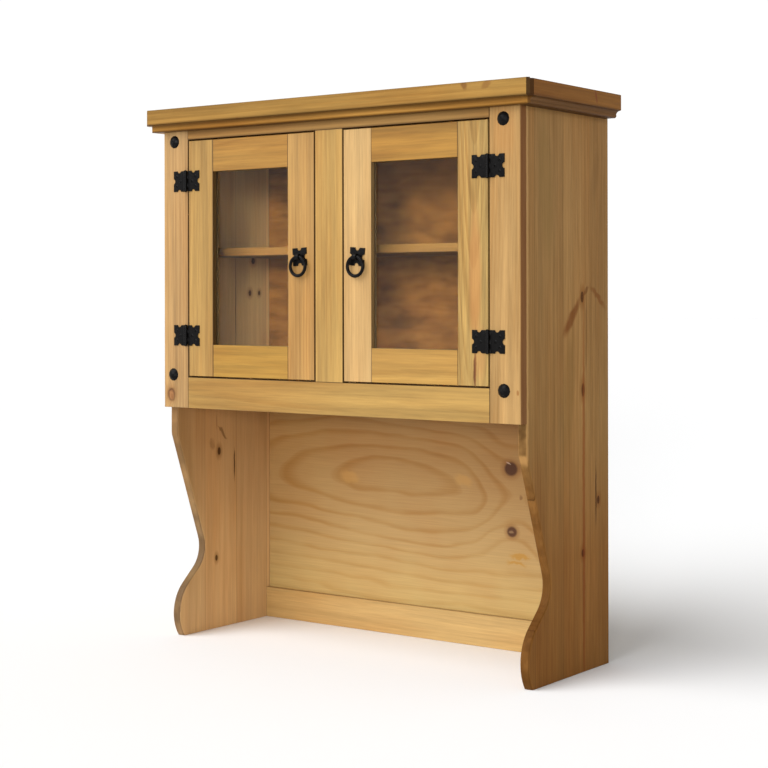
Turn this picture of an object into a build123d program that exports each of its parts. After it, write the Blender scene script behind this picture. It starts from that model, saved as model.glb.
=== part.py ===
"""Glazed hutch of a rustic pine trastero.

Two framed doors hang on black iron butterfly hinges in a face frame. Below the cupboard the side
panels run on as scrolled brackets round an open bay, and a clipped cornice on a cove moulding caps it.

Frame: millimetres, X to the right, Y to the back, Z up. The origin is the middle of the footprint
at floor level. Everything is built for the right-hand side and mirrored to the left.
"""
from build123d import *
import os
from math import asin, atan2, cos, degrees, radians, sin

# ---- overall ----
HEIGHT = 1086.8
CARCASS_WIDTH = 861.0
CORNICE_WIDTH = 933.0
FACE_Y = -147.0          # front plane of the face frame and of the doors
BACK_Y = 170.5           # back edge of the side panels
FRONT_OVERHANG = 23.5    # cornice board beyond the face frame
FRAME_BOTTOM = 476.0     # underside of the cupboard

# ---- boards ----
BOARD = 18.5             # side panels and face frame
SHELF_T = 16.0           # shelf and cupboard floor
TOP_T = 18.0
PLY = 3.5
HOUSING = 6.0            # depth of the grooves that hold the shelves
ARRIS = 0.5              # sanded edge of a framed board
SOFT_ARRIS = 1.5         # edge that hands touch

# ---- face frame ----
STILE_WIDTH = 65.5
MULLION_WIDTH = 66.0
BOTTOM_RAIL_TOP = 538.5
TOP_RAIL_BOTTOM = 1023.5
TENON_T = 6.0
FRAME_TENON = 20.0
MULLION_TENON = 12.0
TENON_SHOULDER = 10.0

# ---- cornice ----
CORNICE_T = 31.8         # front board
CORNICE_SIDE_T = 30.0    # side boards, a shade thinner
CORNICE_BOARD_WIDTH = 70.0
CORNICE_END_Y = 158.0    # the cornice stops short of the wall
CORNICE_CLIP = 10.0      # leg of the clipped corner
MOULDING_BOTTOM = 1041.5
MOULDING_FRONT = 16.0    # how far the nose of the moulding stands out at the front
MOULDING_SIDE = 25.5     # and at the sides
MOULDING_CLIP = 7.0
COVE_R = 7.5
NOSE_STEP = 0.4
NOSE_Z = 1047.0
NOSE_ROUND = 3.0         # how far the nose is rounded back at its foot
BOARD_FOOT_R = 2.5       # the lower front edge of the front board

# ---- scrolled side panel, depths measured back from the face frame's rear ----
KNEE_Z = 420.0
KNEE_R = 25.0
SLANT_RUN = 79.4
SLANT_DROP = 222.4
WAIST_R = 58.0
SWING_ANGLE = 48.2       # lean of the straight between waist and belly
SWING_LENGTH = 41.5
BELLY_R = 82.0
SCROLL_ROUND = 3.5

# ---- inside ----
SHELF_TOP = 802.5
SHELF_FRONT_Y = FACE_Y + 60.0
BACK_RAIL_HEIGHT = 64.0
BACK_RAIL_T = 12.0
PLY_BOTTOM = 10.0
PLY_REBATE = 9.0
BATTEN_WIDTH = 100.0
BATTEN_T = 12.0

# ---- doors ----
DOOR_GAP = 3.25
DOOR_T = 18.0
DOOR_STILE = 65.0
DOOR_RAIL = 64.0
DOOR_TENON = 25.0
DOOR_TENON_Y = 3.5       # front of the tenon behind the door's face
REBATE_WIDTH = 8.0
REBATE_DEPTH = 8.0
GLASS_T = 3.0
GLASS_PLAY = 0.5
BEAD_T = 4.7

# ---- butterfly hinges ----
HINGE_LEAF = 34.8        # axis to the outer edge of a leaf
HINGE_HEIGHT = 42.0
HINGE_FROM_DOOR_END = 81.8
HINGE_DROP = {"left": -0.5, "right": 1.7}    # the pairs were not hung level
HINGE_SHIFT = {"left": 4.3, "right": -0.65}  # how far the axis is off the middle of the gap, outwards
LEAF_RELIEF = 6.0        # the back of a leaf is hollowed this far from the axis
LEAF_RELIEF_DEPTH = 0.35
LEAF_T = 1.8
BARREL_R = 3.8
BARREL_OUT = 4.2         # hinge axis in front of the wood
KNUCKLES = 5
KNUCKLE_GAP = 0.3
LEAF_CLEARANCE = 0.5
PIN_R = 1.7
PIN_CLEARANCE = 0.05
PIN_HEAD_R = 2.9
PIN_HEAD_H = 1.4
EAR_NOTCH_R = 5.3
EAR_NOTCH_X = 19.3
SIDE_NOTCH_R = 5.6
NOTCH_OUTSIDE = 0.5
SCREW_PLACES = [(25.5, 10.0), (25.5, -10.0), (16.0, 0.0)]
SCREW_R = 1.5
SCREW_FIT = 0.08
SCREW_LENGTH = 12.0
SCREW_HEAD_R = 3.3
SCREW_HEAD_H = 1.5

# ---- ring pulls ----
PULL_Z = {"left": 780.2, "right": 778.4}
PULL_SHIFT = {"left": 2.0, "right": 0.0}    # off the middle of the stile, outwards
PULL_PLATE = 34.7
PULL_NOTCH_R = 5.3
PULL_NOTCH_DEPTH = 6.0
PULL_TILT = {"left": -3.0, "right": 4.5}   # plates were nailed on by eye
RING_R = 18.3
RING_WIRE_R = 2.8
EYE_OUT = 7.5            # ring axis in front of the door
EYE_R = 5.9
EYE_BORE_R = 3.8
EYE_WIDTH = 9.0
EYE_NECK = 7.0
BOLT_R = 2.0
BOLT_FIT = 0.1
BOLT_HEAD_R = 4.0
BOLT_HEAD_H = 2.2

# ---- dome nails ----
NAIL_SPOTS = {            # driven in by eye, so no two are placed alike
    "left": [(401.5, 1020.6), (405.3, 543.3)],
    "right": [(394.4, 1019.9), (395.0, 534.9)],
}
NAIL_R = 13.0
NAIL_H = 7.0
NAIL_SHANK_R = 1.75
NAIL_SHANK = 15.0
NAIL_SIDES = 10

# ---- nails of the plywood back ----
PIN_NAIL_R = 0.9
PIN_NAIL_HEAD_R = 2.4
PIN_NAIL_HEAD_H = 0.8
PIN_NAIL_LENGTH = 12.0
PIN_NAIL_SIDE_Z = [70.0, 220.0, 370.0, 600.0, 720.0, 880.0, 990.0]
PIN_NAIL_X = [-220.0, 0.0, 220.0]

# ---- magnetic catch ----
CATCH_Z = 985.0
CATCH_X = 42.5
MAGNET_R = 4.0
MAGNET_L = 6.0
STRIKE_L = 1.5

# ---- worked out ----
HALF = CARCASS_WIDTH / 2
INNER = HALF - BOARD
FRAME_BACK = FACE_Y + BOARD
PLY_FRONT = BACK_Y - PLY
CARCASS_TOP = HEIGHT - CORNICE_T
STILE_X = HALF - STILE_WIDTH
MULLION_X = MULLION_WIDTH / 2
DOOR_X0 = MULLION_X + DOOR_GAP
DOOR_X1 = STILE_X - DOOR_GAP
DOOR_Z0 = BOTTOM_RAIL_TOP + DOOR_GAP
DOOR_Z1 = TOP_RAIL_BOTTOM - DOOR_GAP
PANE_X0 = DOOR_X0 + DOOR_STILE
PANE_X1 = DOOR_X1 - DOOR_STILE
PANE_Z0 = DOOR_Z0 + DOOR_RAIL
PANE_Z1 = DOOR_Z1 - DOOR_RAIL
HINGE_X = {side: STILE_X - DOOR_GAP / 2 + shift for side, shift in HINGE_SHIFT.items()}
HINGE_ZS = {
    side: [DOOR_Z0 + HINGE_FROM_DOOR_END - drop, DOOR_Z1 - HINGE_FROM_DOOR_END - drop]
    for side, drop in HINGE_DROP.items()
}
PULL_X = {side: DOOR_X0 + DOOR_STILE / 2 + shift for side, shift in PULL_SHIFT.items()}
PIN_BORE_R = PIN_R + PIN_CLEARANCE


def block(x0, x1, y0, y1, z0, z1):
    """A box between two corners."""
    return Pos(x0, y0, z0) * Box(x1 - x0, y1 - y0, z1 - z0, align=(Align.MIN, Align.MIN, Align.MIN))


def rod(x, y0, y1, z, radius):
    """A round bar along Y."""
    bar = Cylinder(radius, y1 - y0, align=(Align.CENTER, Align.CENTER, Align.MIN))
    return Pos(x, y0, z) * Rot(-90, 0, 0) * bar


def eased(board, arris=ARRIS):
    """Takes the sharp edge off the front face of a board."""
    return chamfer(board.faces().sort_by(Axis.Y)[0].edges(), arris)


def back_nail_places():
    """(X, Z) of every nail in the plywood: along the sides, the shelves, the top and the low rail."""
    side_x = INNER + PLY_REBATE / 2
    levels = [
        BACK_RAIL_HEIGHT / 2,
        BOTTOM_RAIL_TOP - SHELF_T / 2,
        SHELF_TOP - SHELF_T / 2,
        CARCASS_TOP - TOP_T / 2,
    ]
    at_sides = [(x, z) for x in (-side_x, side_x) for z in PIN_NAIL_SIDE_Z]
    return at_sides + [(x, z) for z in levels for x in PIN_NAIL_X]


def back_nail(x, z):
    """Flat-headed nail, its head flush with the plywood."""
    head = rod(x, BACK_Y - PIN_NAIL_HEAD_H, BACK_Y, z, PIN_NAIL_HEAD_R)
    return head + rod(x, BACK_Y - PIN_NAIL_LENGTH, BACK_Y, z, PIN_NAIL_R)


def nailed(board):
    """A board with a hole for every back nail that reaches it."""
    box = board.bounding_box()
    for x, z in back_nail_places():
        if box.min.X < x < box.max.X and box.min.Z < z < box.max.Z:
            board -= back_nail(x, z)
    return board


def flipped(shape):
    """The left-hand twin of a right-hand piece."""
    return mirror(shape, about=Plane.YZ)


def save(name, *solids):
    """Writes one node; several solids share it as a group."""
    shape = solids[0] if len(solids) == 1 else Compound(list(solids))
    export_step(shape, os.path.join("parts", name + ".step"))


# ---- carcass ----
def scroll_face():
    """Side panel below the cupboard, drawn as (Y, Z): slant, waist, swing and belly down to the foot."""
    knee = (FRAME_BACK, KNEE_Z)
    slant_angle = degrees(atan2(SLANT_RUN, SLANT_DROP))
    front = Line((FRAME_BACK, FRAME_BOTTOM), knee)
    slant = Line(knee, (FRAME_BACK + SLANT_RUN, KNEE_Z - SLANT_DROP))
    waist = JernArc(slant @ 1, slant % 1, WAIST_R, -(slant_angle + SWING_ANGLE))
    swing = Line(waist @ 1, (waist @ 1) + (waist % 1) * SWING_LENGTH)
    belly_z = (swing @ 1).Y - BELLY_R * sin(radians(SWING_ANGLE))
    foot_angle = degrees(asin(belly_z / BELLY_R))
    belly = JernArc(swing @ 1, swing % 1, BELLY_R, SWING_ANGLE + foot_angle)
    foot = Line(belly @ 1, (BACK_Y, 0))
    rest = Polyline((BACK_Y, 0), (BACK_Y, FRAME_BOTTOM), (FRAME_BACK, FRAME_BOTTOM))
    face = make_face([front, slant, waist, swing, belly, foot, rest])
    corner = face.vertices().sort_by_distance(Vertex(*knee, 0))[0]
    return fillet(corner, KNEE_R)


def side_panel():
    """Scrolled board with stopped housings for the shelves and a rebate for the plywood."""
    lower = Pos(INNER, 0, 0) * extrude(Plane.YZ * scroll_face(), BOARD)
    sides = lower.faces().filter_by(Axis.X)
    scroll = [e for f in sides for e in f.edges() if is_scroll_edge(e)]
    lower = fillet(scroll, SCROLL_ROUND)
    upper = block(INNER, HALF, FRAME_BACK, BACK_Y, FRAME_BOTTOM, CARCASS_TOP)
    arris = upper.edges().filter_by(Axis.Z).sort_by(Axis.Y)[:2].sort_by(Axis.X)[-1]
    upper = chamfer(arris, SOFT_ARRIS / 2)
    panel = lower + upper
    floor_z = BOTTOM_RAIL_TOP - SHELF_T
    panel -= block(INNER, INNER + HOUSING, FRAME_BACK, PLY_FRONT, floor_z, BOTTOM_RAIL_TOP)
    panel -= block(INNER, INNER + HOUSING, SHELF_FRONT_Y, PLY_FRONT, SHELF_TOP - SHELF_T, SHELF_TOP)
    panel -= block(INNER, INNER + HOUSING, FRAME_BACK, PLY_FRONT, CARCASS_TOP - TOP_T, CARCASS_TOP)
    panel -= block(INNER, INNER + PLY_REBATE, PLY_FRONT, BACK_Y, PLY_BOTTOM, CARCASS_TOP)
    return nailed(panel)


def is_scroll_edge(edge):
    """True for the shaped front edges, not for the foot, the back or the joint below the cupboard."""
    low = edge.bounding_box().min
    high = edge.bounding_box().max
    on_foot = high.Z < 0.01
    on_back = low.Y > BACK_Y - 0.01
    on_joint = low.Z > FRAME_BOTTOM - 0.01
    return not (on_foot or on_back or on_joint)


def frame_stile(side):
    """Upright of the face frame with mortises, screw holes and nail holes."""
    stile = eased(block(STILE_X, HALF, FACE_Y, FRAME_BACK, FRAME_BOTTOM, CARCASS_TOP), SOFT_ARRIS / 2)
    for z0, z1 in (bottom_tenon_span(), top_tenon_span()):
        stile -= block(STILE_X, STILE_X + FRAME_TENON, *frame_tenon_y(), z0, z1)
    for x, z in screw_points(side, 1):
        stile -= rod(x, FACE_Y, FACE_Y + SCREW_LENGTH, z, SCREW_R + SCREW_FIT)
    for x, z in NAIL_SPOTS[side]:
        stile -= rod(x, FACE_Y, FACE_Y + NAIL_SHANK, z, NAIL_SHANK_R + SCREW_FIT)
    return stile


def frame_tenon_y():
    middle = FACE_Y + BOARD / 2
    return middle - TENON_T / 2, middle + TENON_T / 2


def bottom_tenon_span():
    return FRAME_BOTTOM + TENON_SHOULDER, BOTTOM_RAIL_TOP - TENON_SHOULDER


def top_tenon_span():
    return TOP_RAIL_BOTTOM + TENON_SHOULDER, CARCASS_TOP - TENON_SHOULDER / 2


def frame_rail(z0, z1, tenon_span, mortise_z):
    """Rail between the stiles with a stub tenon at each end and a mortise for the mullion."""
    rail = eased(block(-STILE_X, STILE_X, FACE_Y, FRAME_BACK, z0, z1))
    rail += block(-STILE_X - FRAME_TENON, STILE_X + FRAME_TENON, *frame_tenon_y(), *tenon_span)
    tenon_x = MULLION_X - TENON_SHOULDER
    rail -= block(-tenon_x, tenon_x, *frame_tenon_y(), *mortise_z)
    return rail


def mullion():
    """Post between the doors, tenoned into both rails."""
    tenon_x = MULLION_X - TENON_SHOULDER
    post = eased(block(-MULLION_X, MULLION_X, FACE_Y, FRAME_BACK, BOTTOM_RAIL_TOP, TOP_RAIL_BOTTOM))
    ends = (BOTTOM_RAIL_TOP - MULLION_TENON, TOP_RAIL_BOTTOM + MULLION_TENON)
    return post + block(-tenon_x, tenon_x, *frame_tenon_y(), *ends)


def stop_batten():
    """Strip behind the mullion with blind holes for the magnets."""
    half = BATTEN_WIDTH / 2
    strip = block(-half, half, FRAME_BACK, FRAME_BACK + BATTEN_T, BOTTOM_RAIL_TOP, CARCASS_TOP - TOP_T)
    for x in (-CATCH_X, CATCH_X):
        strip -= rod(x, FRAME_BACK, FRAME_BACK + MAGNET_L, CATCH_Z, MAGNET_R)
    return strip


def housed_board(y0, z0, z1):
    """Board between the side panels, let into their housings."""
    reach = INNER + HOUSING
    return nailed(eased(block(-reach, reach, y0, PLY_FRONT, z0, z1)))


# ---- cornice ----
def prism(points, z0, z1):
    """Upright prism over a plan outline."""
    face = make_face(Polyline(*points, close=True))
    return Pos(0, 0, z0) * extrude(face, z1 - z0)


def cornice_boards():
    """Front and right-hand boards, mitred at the corner, which is then clipped."""
    x = CORNICE_WIDTH / 2
    y = FACE_Y - FRONT_OVERHANG
    inner_x = x - CORNICE_BOARD_WIDTH
    inner_y = y + CORNICE_BOARD_WIDTH
    clip = CORNICE_CLIP
    mitre = (x - clip / 2, y + clip / 2)
    half_front = [(0, y), (x - clip, y), mitre, (inner_x, inner_y), (0, inner_y)]
    side = [mitre, (x, y + clip), (x, CORNICE_END_Y), (inner_x, CORNICE_END_Y), (inner_x, inner_y)]
    front = prism(half_front, CARCASS_TOP, HEIGHT)
    front += flipped(front)
    foot, head = front.edges().filter_by(Axis.X).group_by(Axis.Y)[0].group_by(Axis.Z)
    front = fillet(foot, BOARD_FOOT_R)
    head = front.edges().filter_by(Axis.X).group_by(Axis.Y)[0].group_by(Axis.Z)[-1]
    front = fillet(head, SOFT_ARRIS / 2)
    side = prism(side, CARCASS_TOP, CARCASS_TOP + CORNICE_SIDE_T)
    side = fillet(side.edges().filter_by(Axis.Y).group_by(Axis.X)[-1], SOFT_ARRIS)
    return front, side


def moulding_section(nose):
    """Section as (distance out, Z): a cove under the board, a small step and a rounded nose."""
    top = CARCASS_TOP
    lip = nose + COVE_R
    cove = ThreePointArc(
        (lip, top - ARRIS),
        (lip - COVE_R * sin(radians(45)), NOSE_Z + (top - ARRIS - NOSE_Z) * sin(radians(45))),
        (nose, NOSE_Z),
    )
    drop = NOSE_Z - MOULDING_BOTTOM
    nose_arc = ThreePointArc(
        (nose + NOSE_STEP, NOSE_Z),
        (nose - 0.2 * NOSE_ROUND, MOULDING_BOTTOM + 0.3 * drop),
        (nose - NOSE_ROUND, MOULDING_BOTTOM),
    )
    outline = [
        Polyline((0, top), (lip, top), (lip, top - ARRIS)),
        cove,
        Line((nose, NOSE_Z), (nose + NOSE_STEP, NOSE_Z)),
        nose_arc,
        Polyline((nose - NOSE_ROUND, MOULDING_BOTTOM), (0, MOULDING_BOTTOM), (0, top)),
    ]
    return make_face(outline)


def cornice_mouldings():
    """Front and right-hand mouldings, cut to their mitre and clip by a plan prism."""
    corner_x = HALF + MOULDING_SIDE
    corner_y = FACE_Y - MOULDING_FRONT
    clip = MOULDING_CLIP
    reach = COVE_R + NOSE_STEP
    run = 2 * reach + clip
    low, high = MOULDING_BOTTOM - 1, CARCASS_TOP + 1
    mitre = (corner_x - clip / 2, corner_y + clip / 2)
    heel = (corner_x - MOULDING_FRONT, FACE_Y)
    beyond = corner_y - reach
    front_plan = [(0, beyond), (corner_x - run + reach, beyond), mitre, heel, (0, FACE_Y)]
    side_plan = [
        mitre,
        (corner_x + reach, corner_y + run - reach),
        (corner_x + reach, CORNICE_END_Y),
        (HALF, CORNICE_END_Y),
        (HALF, FACE_Y),
        heel,
    ]
    section_front = Plane(origin=(corner_x, FACE_Y, 0), x_dir=(0, -1, 0), z_dir=(-1, 0, 0))
    bar = extrude(section_front * moulding_section(MOULDING_FRONT), corner_x)
    half_front = bar & prism(front_plan, low, high)
    front = half_front + flipped(half_front)
    section_side = Plane(origin=(HALF, CORNICE_END_Y, 0), x_dir=(1, 0, 0), z_dir=(0, -1, 0))
    bar = extrude(section_side * moulding_section(MOULDING_SIDE), CORNICE_END_Y - beyond)
    side = bar & prism(side_plan, low, high)
    return front, side


# ---- hinges ----
def knuckle_span(index):
    pitch = HINGE_HEIGHT / KNUCKLES
    start = -HINGE_HEIGHT / 2 + index * pitch
    return start + KNUCKLE_GAP / 2, start + pitch - KNUCKLE_GAP / 2


def upright(radius, z0, z1):
    """A cylinder on the hinge axis of a leaf drawn at the origin."""
    barrel = Cylinder(radius, z1 - z0, align=(Align.CENTER, Align.CENTER, Align.MIN))
    return Pos(0, -BARREL_OUT, z0) * barrel


def hinge_leaf(own):
    """One leaf at the origin, reaching to +X: an eared plate with interleaved knuckles."""
    plate = Pos(HINGE_LEAF / 2, 0) * Rectangle(HINGE_LEAF, HINGE_HEIGHT)
    for side in (-1, 1):
        plate -= Pos(EAR_NOTCH_X, side * (HINGE_HEIGHT / 2 + NOTCH_OUTSIDE)) * Circle(EAR_NOTCH_R)
    plate -= Pos(HINGE_LEAF + NOTCH_OUTSIDE, 0) * Circle(SIDE_NOTCH_R)
    for x, z in SCREW_PLACES:
        plate -= Pos(x, z) * Circle(SCREW_R + SCREW_FIT)
    leaf = extrude(Plane.XZ * plate, LEAF_T)
    leaf -= block(-BARREL_R, LEAF_RELIEF, -LEAF_RELIEF_DEPTH, BARREL_R, -HINGE_HEIGHT, HINGE_HEIGHT)
    others = [k for k in range(KNUCKLES) if k not in own]
    for index in own:
        leaf += upright(BARREL_R, *knuckle_span(index))
    for index in others:
        low, high = knuckle_span(index)
        leaf -= upright(BARREL_R + LEAF_CLEARANCE, low - KNUCKLE_GAP, high + KNUCKLE_GAP)
    return leaf - upright(PIN_BORE_R, -HINGE_HEIGHT, HINGE_HEIGHT)


def hinge_pin():
    """Pin with a domed head at each end."""
    half = HINGE_HEIGHT / 2
    profile = make_face([
        Polyline((0, 0), (PIN_R, 0), (PIN_R, half), (PIN_HEAD_R, half)),
        dome_arc(PIN_HEAD_R, PIN_HEAD_H, half),
        Line((0, half + PIN_HEAD_H), (0, 0)),
    ])
    top = revolve(Plane.XZ * profile, Axis.Z)
    return Pos(0, -BARREL_OUT, 0) * (top + mirror(top, about=Plane.XY))


def dome_arc(radius, height, base):
    """Arc from the rim of a dome to its top, drawn in a half section."""
    ball_r = (radius**2 + height**2) / (2 * height)
    half_angle = asin(radius / ball_r) / 2
    middle = (ball_r * sin(half_angle), base + height - ball_r + ball_r * cos(half_angle))
    return ThreePointArc((radius, base), middle, (0, base + height))


def screw(length, head_r, head_h, shank_r):
    """Domed screw whose head sits on Y = 0 and whose shank runs to +Y."""
    profile = make_face([
        Line((0, head_h), (0, -length)),
        Polyline((0, -length), (shank_r, -length), (shank_r, 0), (head_r, 0)),
        dome_arc(head_r, head_h, 0),
    ])
    return Rot(90, 0, 0) * revolve(Plane.XZ * profile, Axis.Z)


def screw_points(side, direction):
    """Screw places of both hinges of a door on one side of the axis, as (X, Z)."""
    return [(HINGE_X[side] + direction * x, hinge_z + z) for hinge_z in HINGE_ZS[side] for x, z in SCREW_PLACES]


def hinge_screws(side, direction):
    fixing = screw(SCREW_LENGTH - LEAF_T, SCREW_HEAD_R, SCREW_HEAD_H, SCREW_R)
    return [Pos(x, FACE_Y - LEAF_T, z) * fixing for x, z in screw_points(side, direction)]


# ---- doors ----
def door_stiles(side):
    """Hinge stile and lock stile with mortises, rebate and screw holes."""
    hinge = block(PANE_X1, DOOR_X1, FACE_Y, FACE_Y + DOOR_T, DOOR_Z0, DOOR_Z1)
    lock = block(DOOR_X0, PANE_X0, FACE_Y, FACE_Y + DOOR_T, DOOR_Z0, DOOR_Z1)
    hinge = eased(hinge) - door_tenons() - glass_rebate()
    lock = eased(lock) - door_tenons() - glass_rebate()
    for x, z in screw_points(side, -1):
        hinge -= rod(x, FACE_Y, FACE_Y + SCREW_LENGTH, z, SCREW_R + SCREW_FIT)
    lock -= rod(PULL_X[side], FACE_Y, FACE_Y + DOOR_T, PULL_Z[side], BOLT_R + BOLT_FIT)
    lock -= rod(CATCH_X, FACE_Y + DOOR_T - STRIKE_L, FACE_Y + DOOR_T, CATCH_Z, MAGNET_R)
    return hinge, lock


def tenon_spans():
    return (
        (DOOR_Z0 + TENON_SHOULDER, PANE_Z0 - REBATE_WIDTH),
        (PANE_Z1 + REBATE_WIDTH, DOOR_Z1 - TENON_SHOULDER),
    )


def door_tenons():
    """The space of the tenons of both rails."""
    y0 = FACE_Y + DOOR_TENON_Y
    x0, x1 = PANE_X0 - DOOR_TENON, PANE_X1 + DOOR_TENON
    low, high = tenon_spans()
    return block(x0, x1, y0, y0 + TENON_T, *low) + block(x0, x1, y0, y0 + TENON_T, *high)


def glass_rebate():
    """The space behind the glazed opening that holds glass and beads."""
    y0 = FACE_Y + DOOR_T - REBATE_DEPTH
    x0, x1 = PANE_X0 - REBATE_WIDTH, PANE_X1 + REBATE_WIDTH
    return block(x0, x1, y0, FACE_Y + DOOR_T, PANE_Z0 - REBATE_WIDTH, PANE_Z1 + REBATE_WIDTH)


def door_rail(z0, z1, tenon_span):
    y0 = FACE_Y + DOOR_TENON_Y
    rail = eased(block(PANE_X0, PANE_X1, FACE_Y, FACE_Y + DOOR_T, z0, z1))
    rail += block(PANE_X0 - DOOR_TENON, PANE_X1 + DOOR_TENON, y0, y0 + TENON_T, *tenon_span)
    return rail - glass_rebate()


def door_glass():
    edge = REBATE_WIDTH - GLASS_PLAY
    y0 = FACE_Y + DOOR_T - REBATE_DEPTH
    return block(PANE_X0 - edge, PANE_X1 + edge, y0, y0 + GLASS_T, PANE_Z0 - edge, PANE_Z1 + edge)


def door_beads():
    """Four beads behind the glass, the upright ones running through."""
    y0 = FACE_Y + DOOR_T - REBATE_DEPTH + GLASS_T
    y1 = y0 + BEAD_T
    z0, z1 = PANE_Z0 - REBATE_WIDTH, PANE_Z1 + REBATE_WIDTH
    return [
        block(PANE_X0 - REBATE_WIDTH, PANE_X0, y0, y1, z0, z1),
        block(PANE_X1, PANE_X1 + REBATE_WIDTH, y0, y1, z0, z1),
        block(PANE_X0, PANE_X1, y0, y1, z0, PANE_Z0),
        block(PANE_X0, PANE_X1, y0, y1, PANE_Z1, z1),
    ]


# ---- ring pulls ----
def pull_plate(tilt):
    """Four-eared plate with a drilled eye for the ring, bolted through the lock stile."""
    outline = Rectangle(PULL_PLATE, PULL_PLATE)
    centre = PULL_PLATE / 2 + PULL_NOTCH_R - PULL_NOTCH_DEPTH
    for turn in range(4):
        outline -= Rot(0, 0, 90 * turn) * Pos(centre, 0) * Circle(PULL_NOTCH_R)
    plate = extrude(Plane.XZ * (Rot(0, 0, -tilt) * outline), LEAF_T)
    plate = chamfer(plate.faces().sort_by(Axis.Y)[0].edges(), ARRIS)
    eye = Rot(0, 90, 0) * Cylinder(EYE_R, EYE_WIDTH)
    neck = block(-EYE_WIDTH / 2, EYE_WIDTH / 2, 0, EYE_OUT - LEAF_T, -EYE_NECK / 2, EYE_NECK / 2)
    boss = Pos(0, -EYE_OUT, 0) * (eye + neck)
    body = plate + boss - Pos(0, -EYE_OUT, 0) * Rot(0, 90, 0) * Cylinder(EYE_BORE_R, EYE_WIDTH)
    return body - rod(0, EYE_BORE_R - EYE_OUT, 0, 0, BOLT_R + BOLT_FIT)


def pull_bolt(side):
    """Screw from inside the door into the plate."""
    length = DOOR_T + EYE_OUT - EYE_BORE_R - 1.0
    bolt = screw(length, BOLT_HEAD_R, BOLT_HEAD_H, BOLT_R)
    return Pos(PULL_X[side], FACE_Y + DOOR_T, PULL_Z[side]) * Rot(0, 0, 180) * bolt


def pull_ring(side):
    ring = Rot(90, 0, 0) * Torus(RING_R, RING_WIRE_R)
    return Pos(PULL_X[side], FACE_Y - EYE_OUT, PULL_Z[side] - RING_R) * ring


def dome_nail():
    """Faceted dome with a plain shank, drawn on Y = 0 with the dome towards -Y."""
    rings = [(NAIL_R, 0.0), (0.72 * NAIL_R, 0.62 * NAIL_H), (0.28 * NAIL_R, NAIL_H)]
    levels = [Pos(0, 0, h) * RegularPolygon(r, NAIL_SIDES) for r, h in rings]
    dome = loft(levels, ruled=True)
    shank = Pos(0, 0, -NAIL_SHANK) * Cylinder(
        NAIL_SHANK_R, NAIL_SHANK, align=(Align.CENTER, Align.CENTER, Align.MIN)
    )
    return Rot(90, 0, 0) * (dome + shank)


def write_carcass():
    panel = side_panel()
    save("side_panel_right", panel)
    save("side_panel_left", flipped(panel))
    save("stile_right", frame_stile("right"))
    save("stile_left", flipped(frame_stile("left")))
    bottom_mortise = (BOTTOM_RAIL_TOP - MULLION_TENON, BOTTOM_RAIL_TOP)
    top_mortise = (TOP_RAIL_BOTTOM, TOP_RAIL_BOTTOM + MULLION_TENON)
    save("bottom_rail", frame_rail(FRAME_BOTTOM, BOTTOM_RAIL_TOP, bottom_tenon_span(), bottom_mortise))
    save("top_rail", frame_rail(TOP_RAIL_BOTTOM, CARCASS_TOP, top_tenon_span(), top_mortise))
    save("mullion", mullion())
    save("stop_batten", stop_batten())
    save("cupboard_floor", housed_board(FRAME_BACK, BOTTOM_RAIL_TOP - SHELF_T, BOTTOM_RAIL_TOP))
    save("shelf", housed_board(SHELF_FRONT_Y, SHELF_TOP - SHELF_T, SHELF_TOP))
    save("top_panel", housed_board(FRAME_BACK, CARCASS_TOP - TOP_T, CARCASS_TOP))
    ply_x = INNER + PLY_REBATE
    save("back_panel", nailed(block(-ply_x, ply_x, PLY_FRONT, BACK_Y, PLY_BOTTOM, CARCASS_TOP)))
    rail = eased(block(-INNER, INNER, PLY_FRONT - BACK_RAIL_T, PLY_FRONT, 0, BACK_RAIL_HEIGHT))
    save("back_rail", nailed(rail))
    save("back_nails", *[back_nail(x, z) for x, z in back_nail_places()])
    magnets = [rod(x, FRAME_BACK, FRAME_BACK + MAGNET_L, CATCH_Z, MAGNET_R) for x in (-CATCH_X, CATCH_X)]
    save("catch_magnets", *magnets)


def write_cornice():
    front, side = cornice_boards()
    save("cornice_board_front", front)
    save("cornice_board_right", side)
    save("cornice_board_left", flipped(side))
    front, side = cornice_mouldings()
    save("cornice_moulding_front", front)
    save("cornice_moulding_right", side)
    save("cornice_moulding_left", flipped(side))


def write_frame_hardware():
    """Leaves, pins, screws and nails that stay on the face frame."""
    leaf, leaves, pins, screws, nails = hinge_leaf([0, 2, 4]), [], [], [], []
    for side, place in (("right", lambda shape: shape), ("left", flipped)):
        leaves += [place(Pos(HINGE_X[side], FACE_Y, z) * leaf) for z in HINGE_ZS[side]]
        pins += [place(Pos(HINGE_X[side], FACE_Y, z) * hinge_pin()) for z in HINGE_ZS[side]]
        screws += [place(shape) for shape in hinge_screws(side, 1)]
        nails += [place(Pos(x, FACE_Y, z) * dome_nail()) for x, z in NAIL_SPOTS[side]]
    save("frame_hinge_leaves", *leaves)
    save("hinge_pins", *pins)
    save("frame_hinge_screws", *screws)
    save("dome_nails", *nails)


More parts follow.
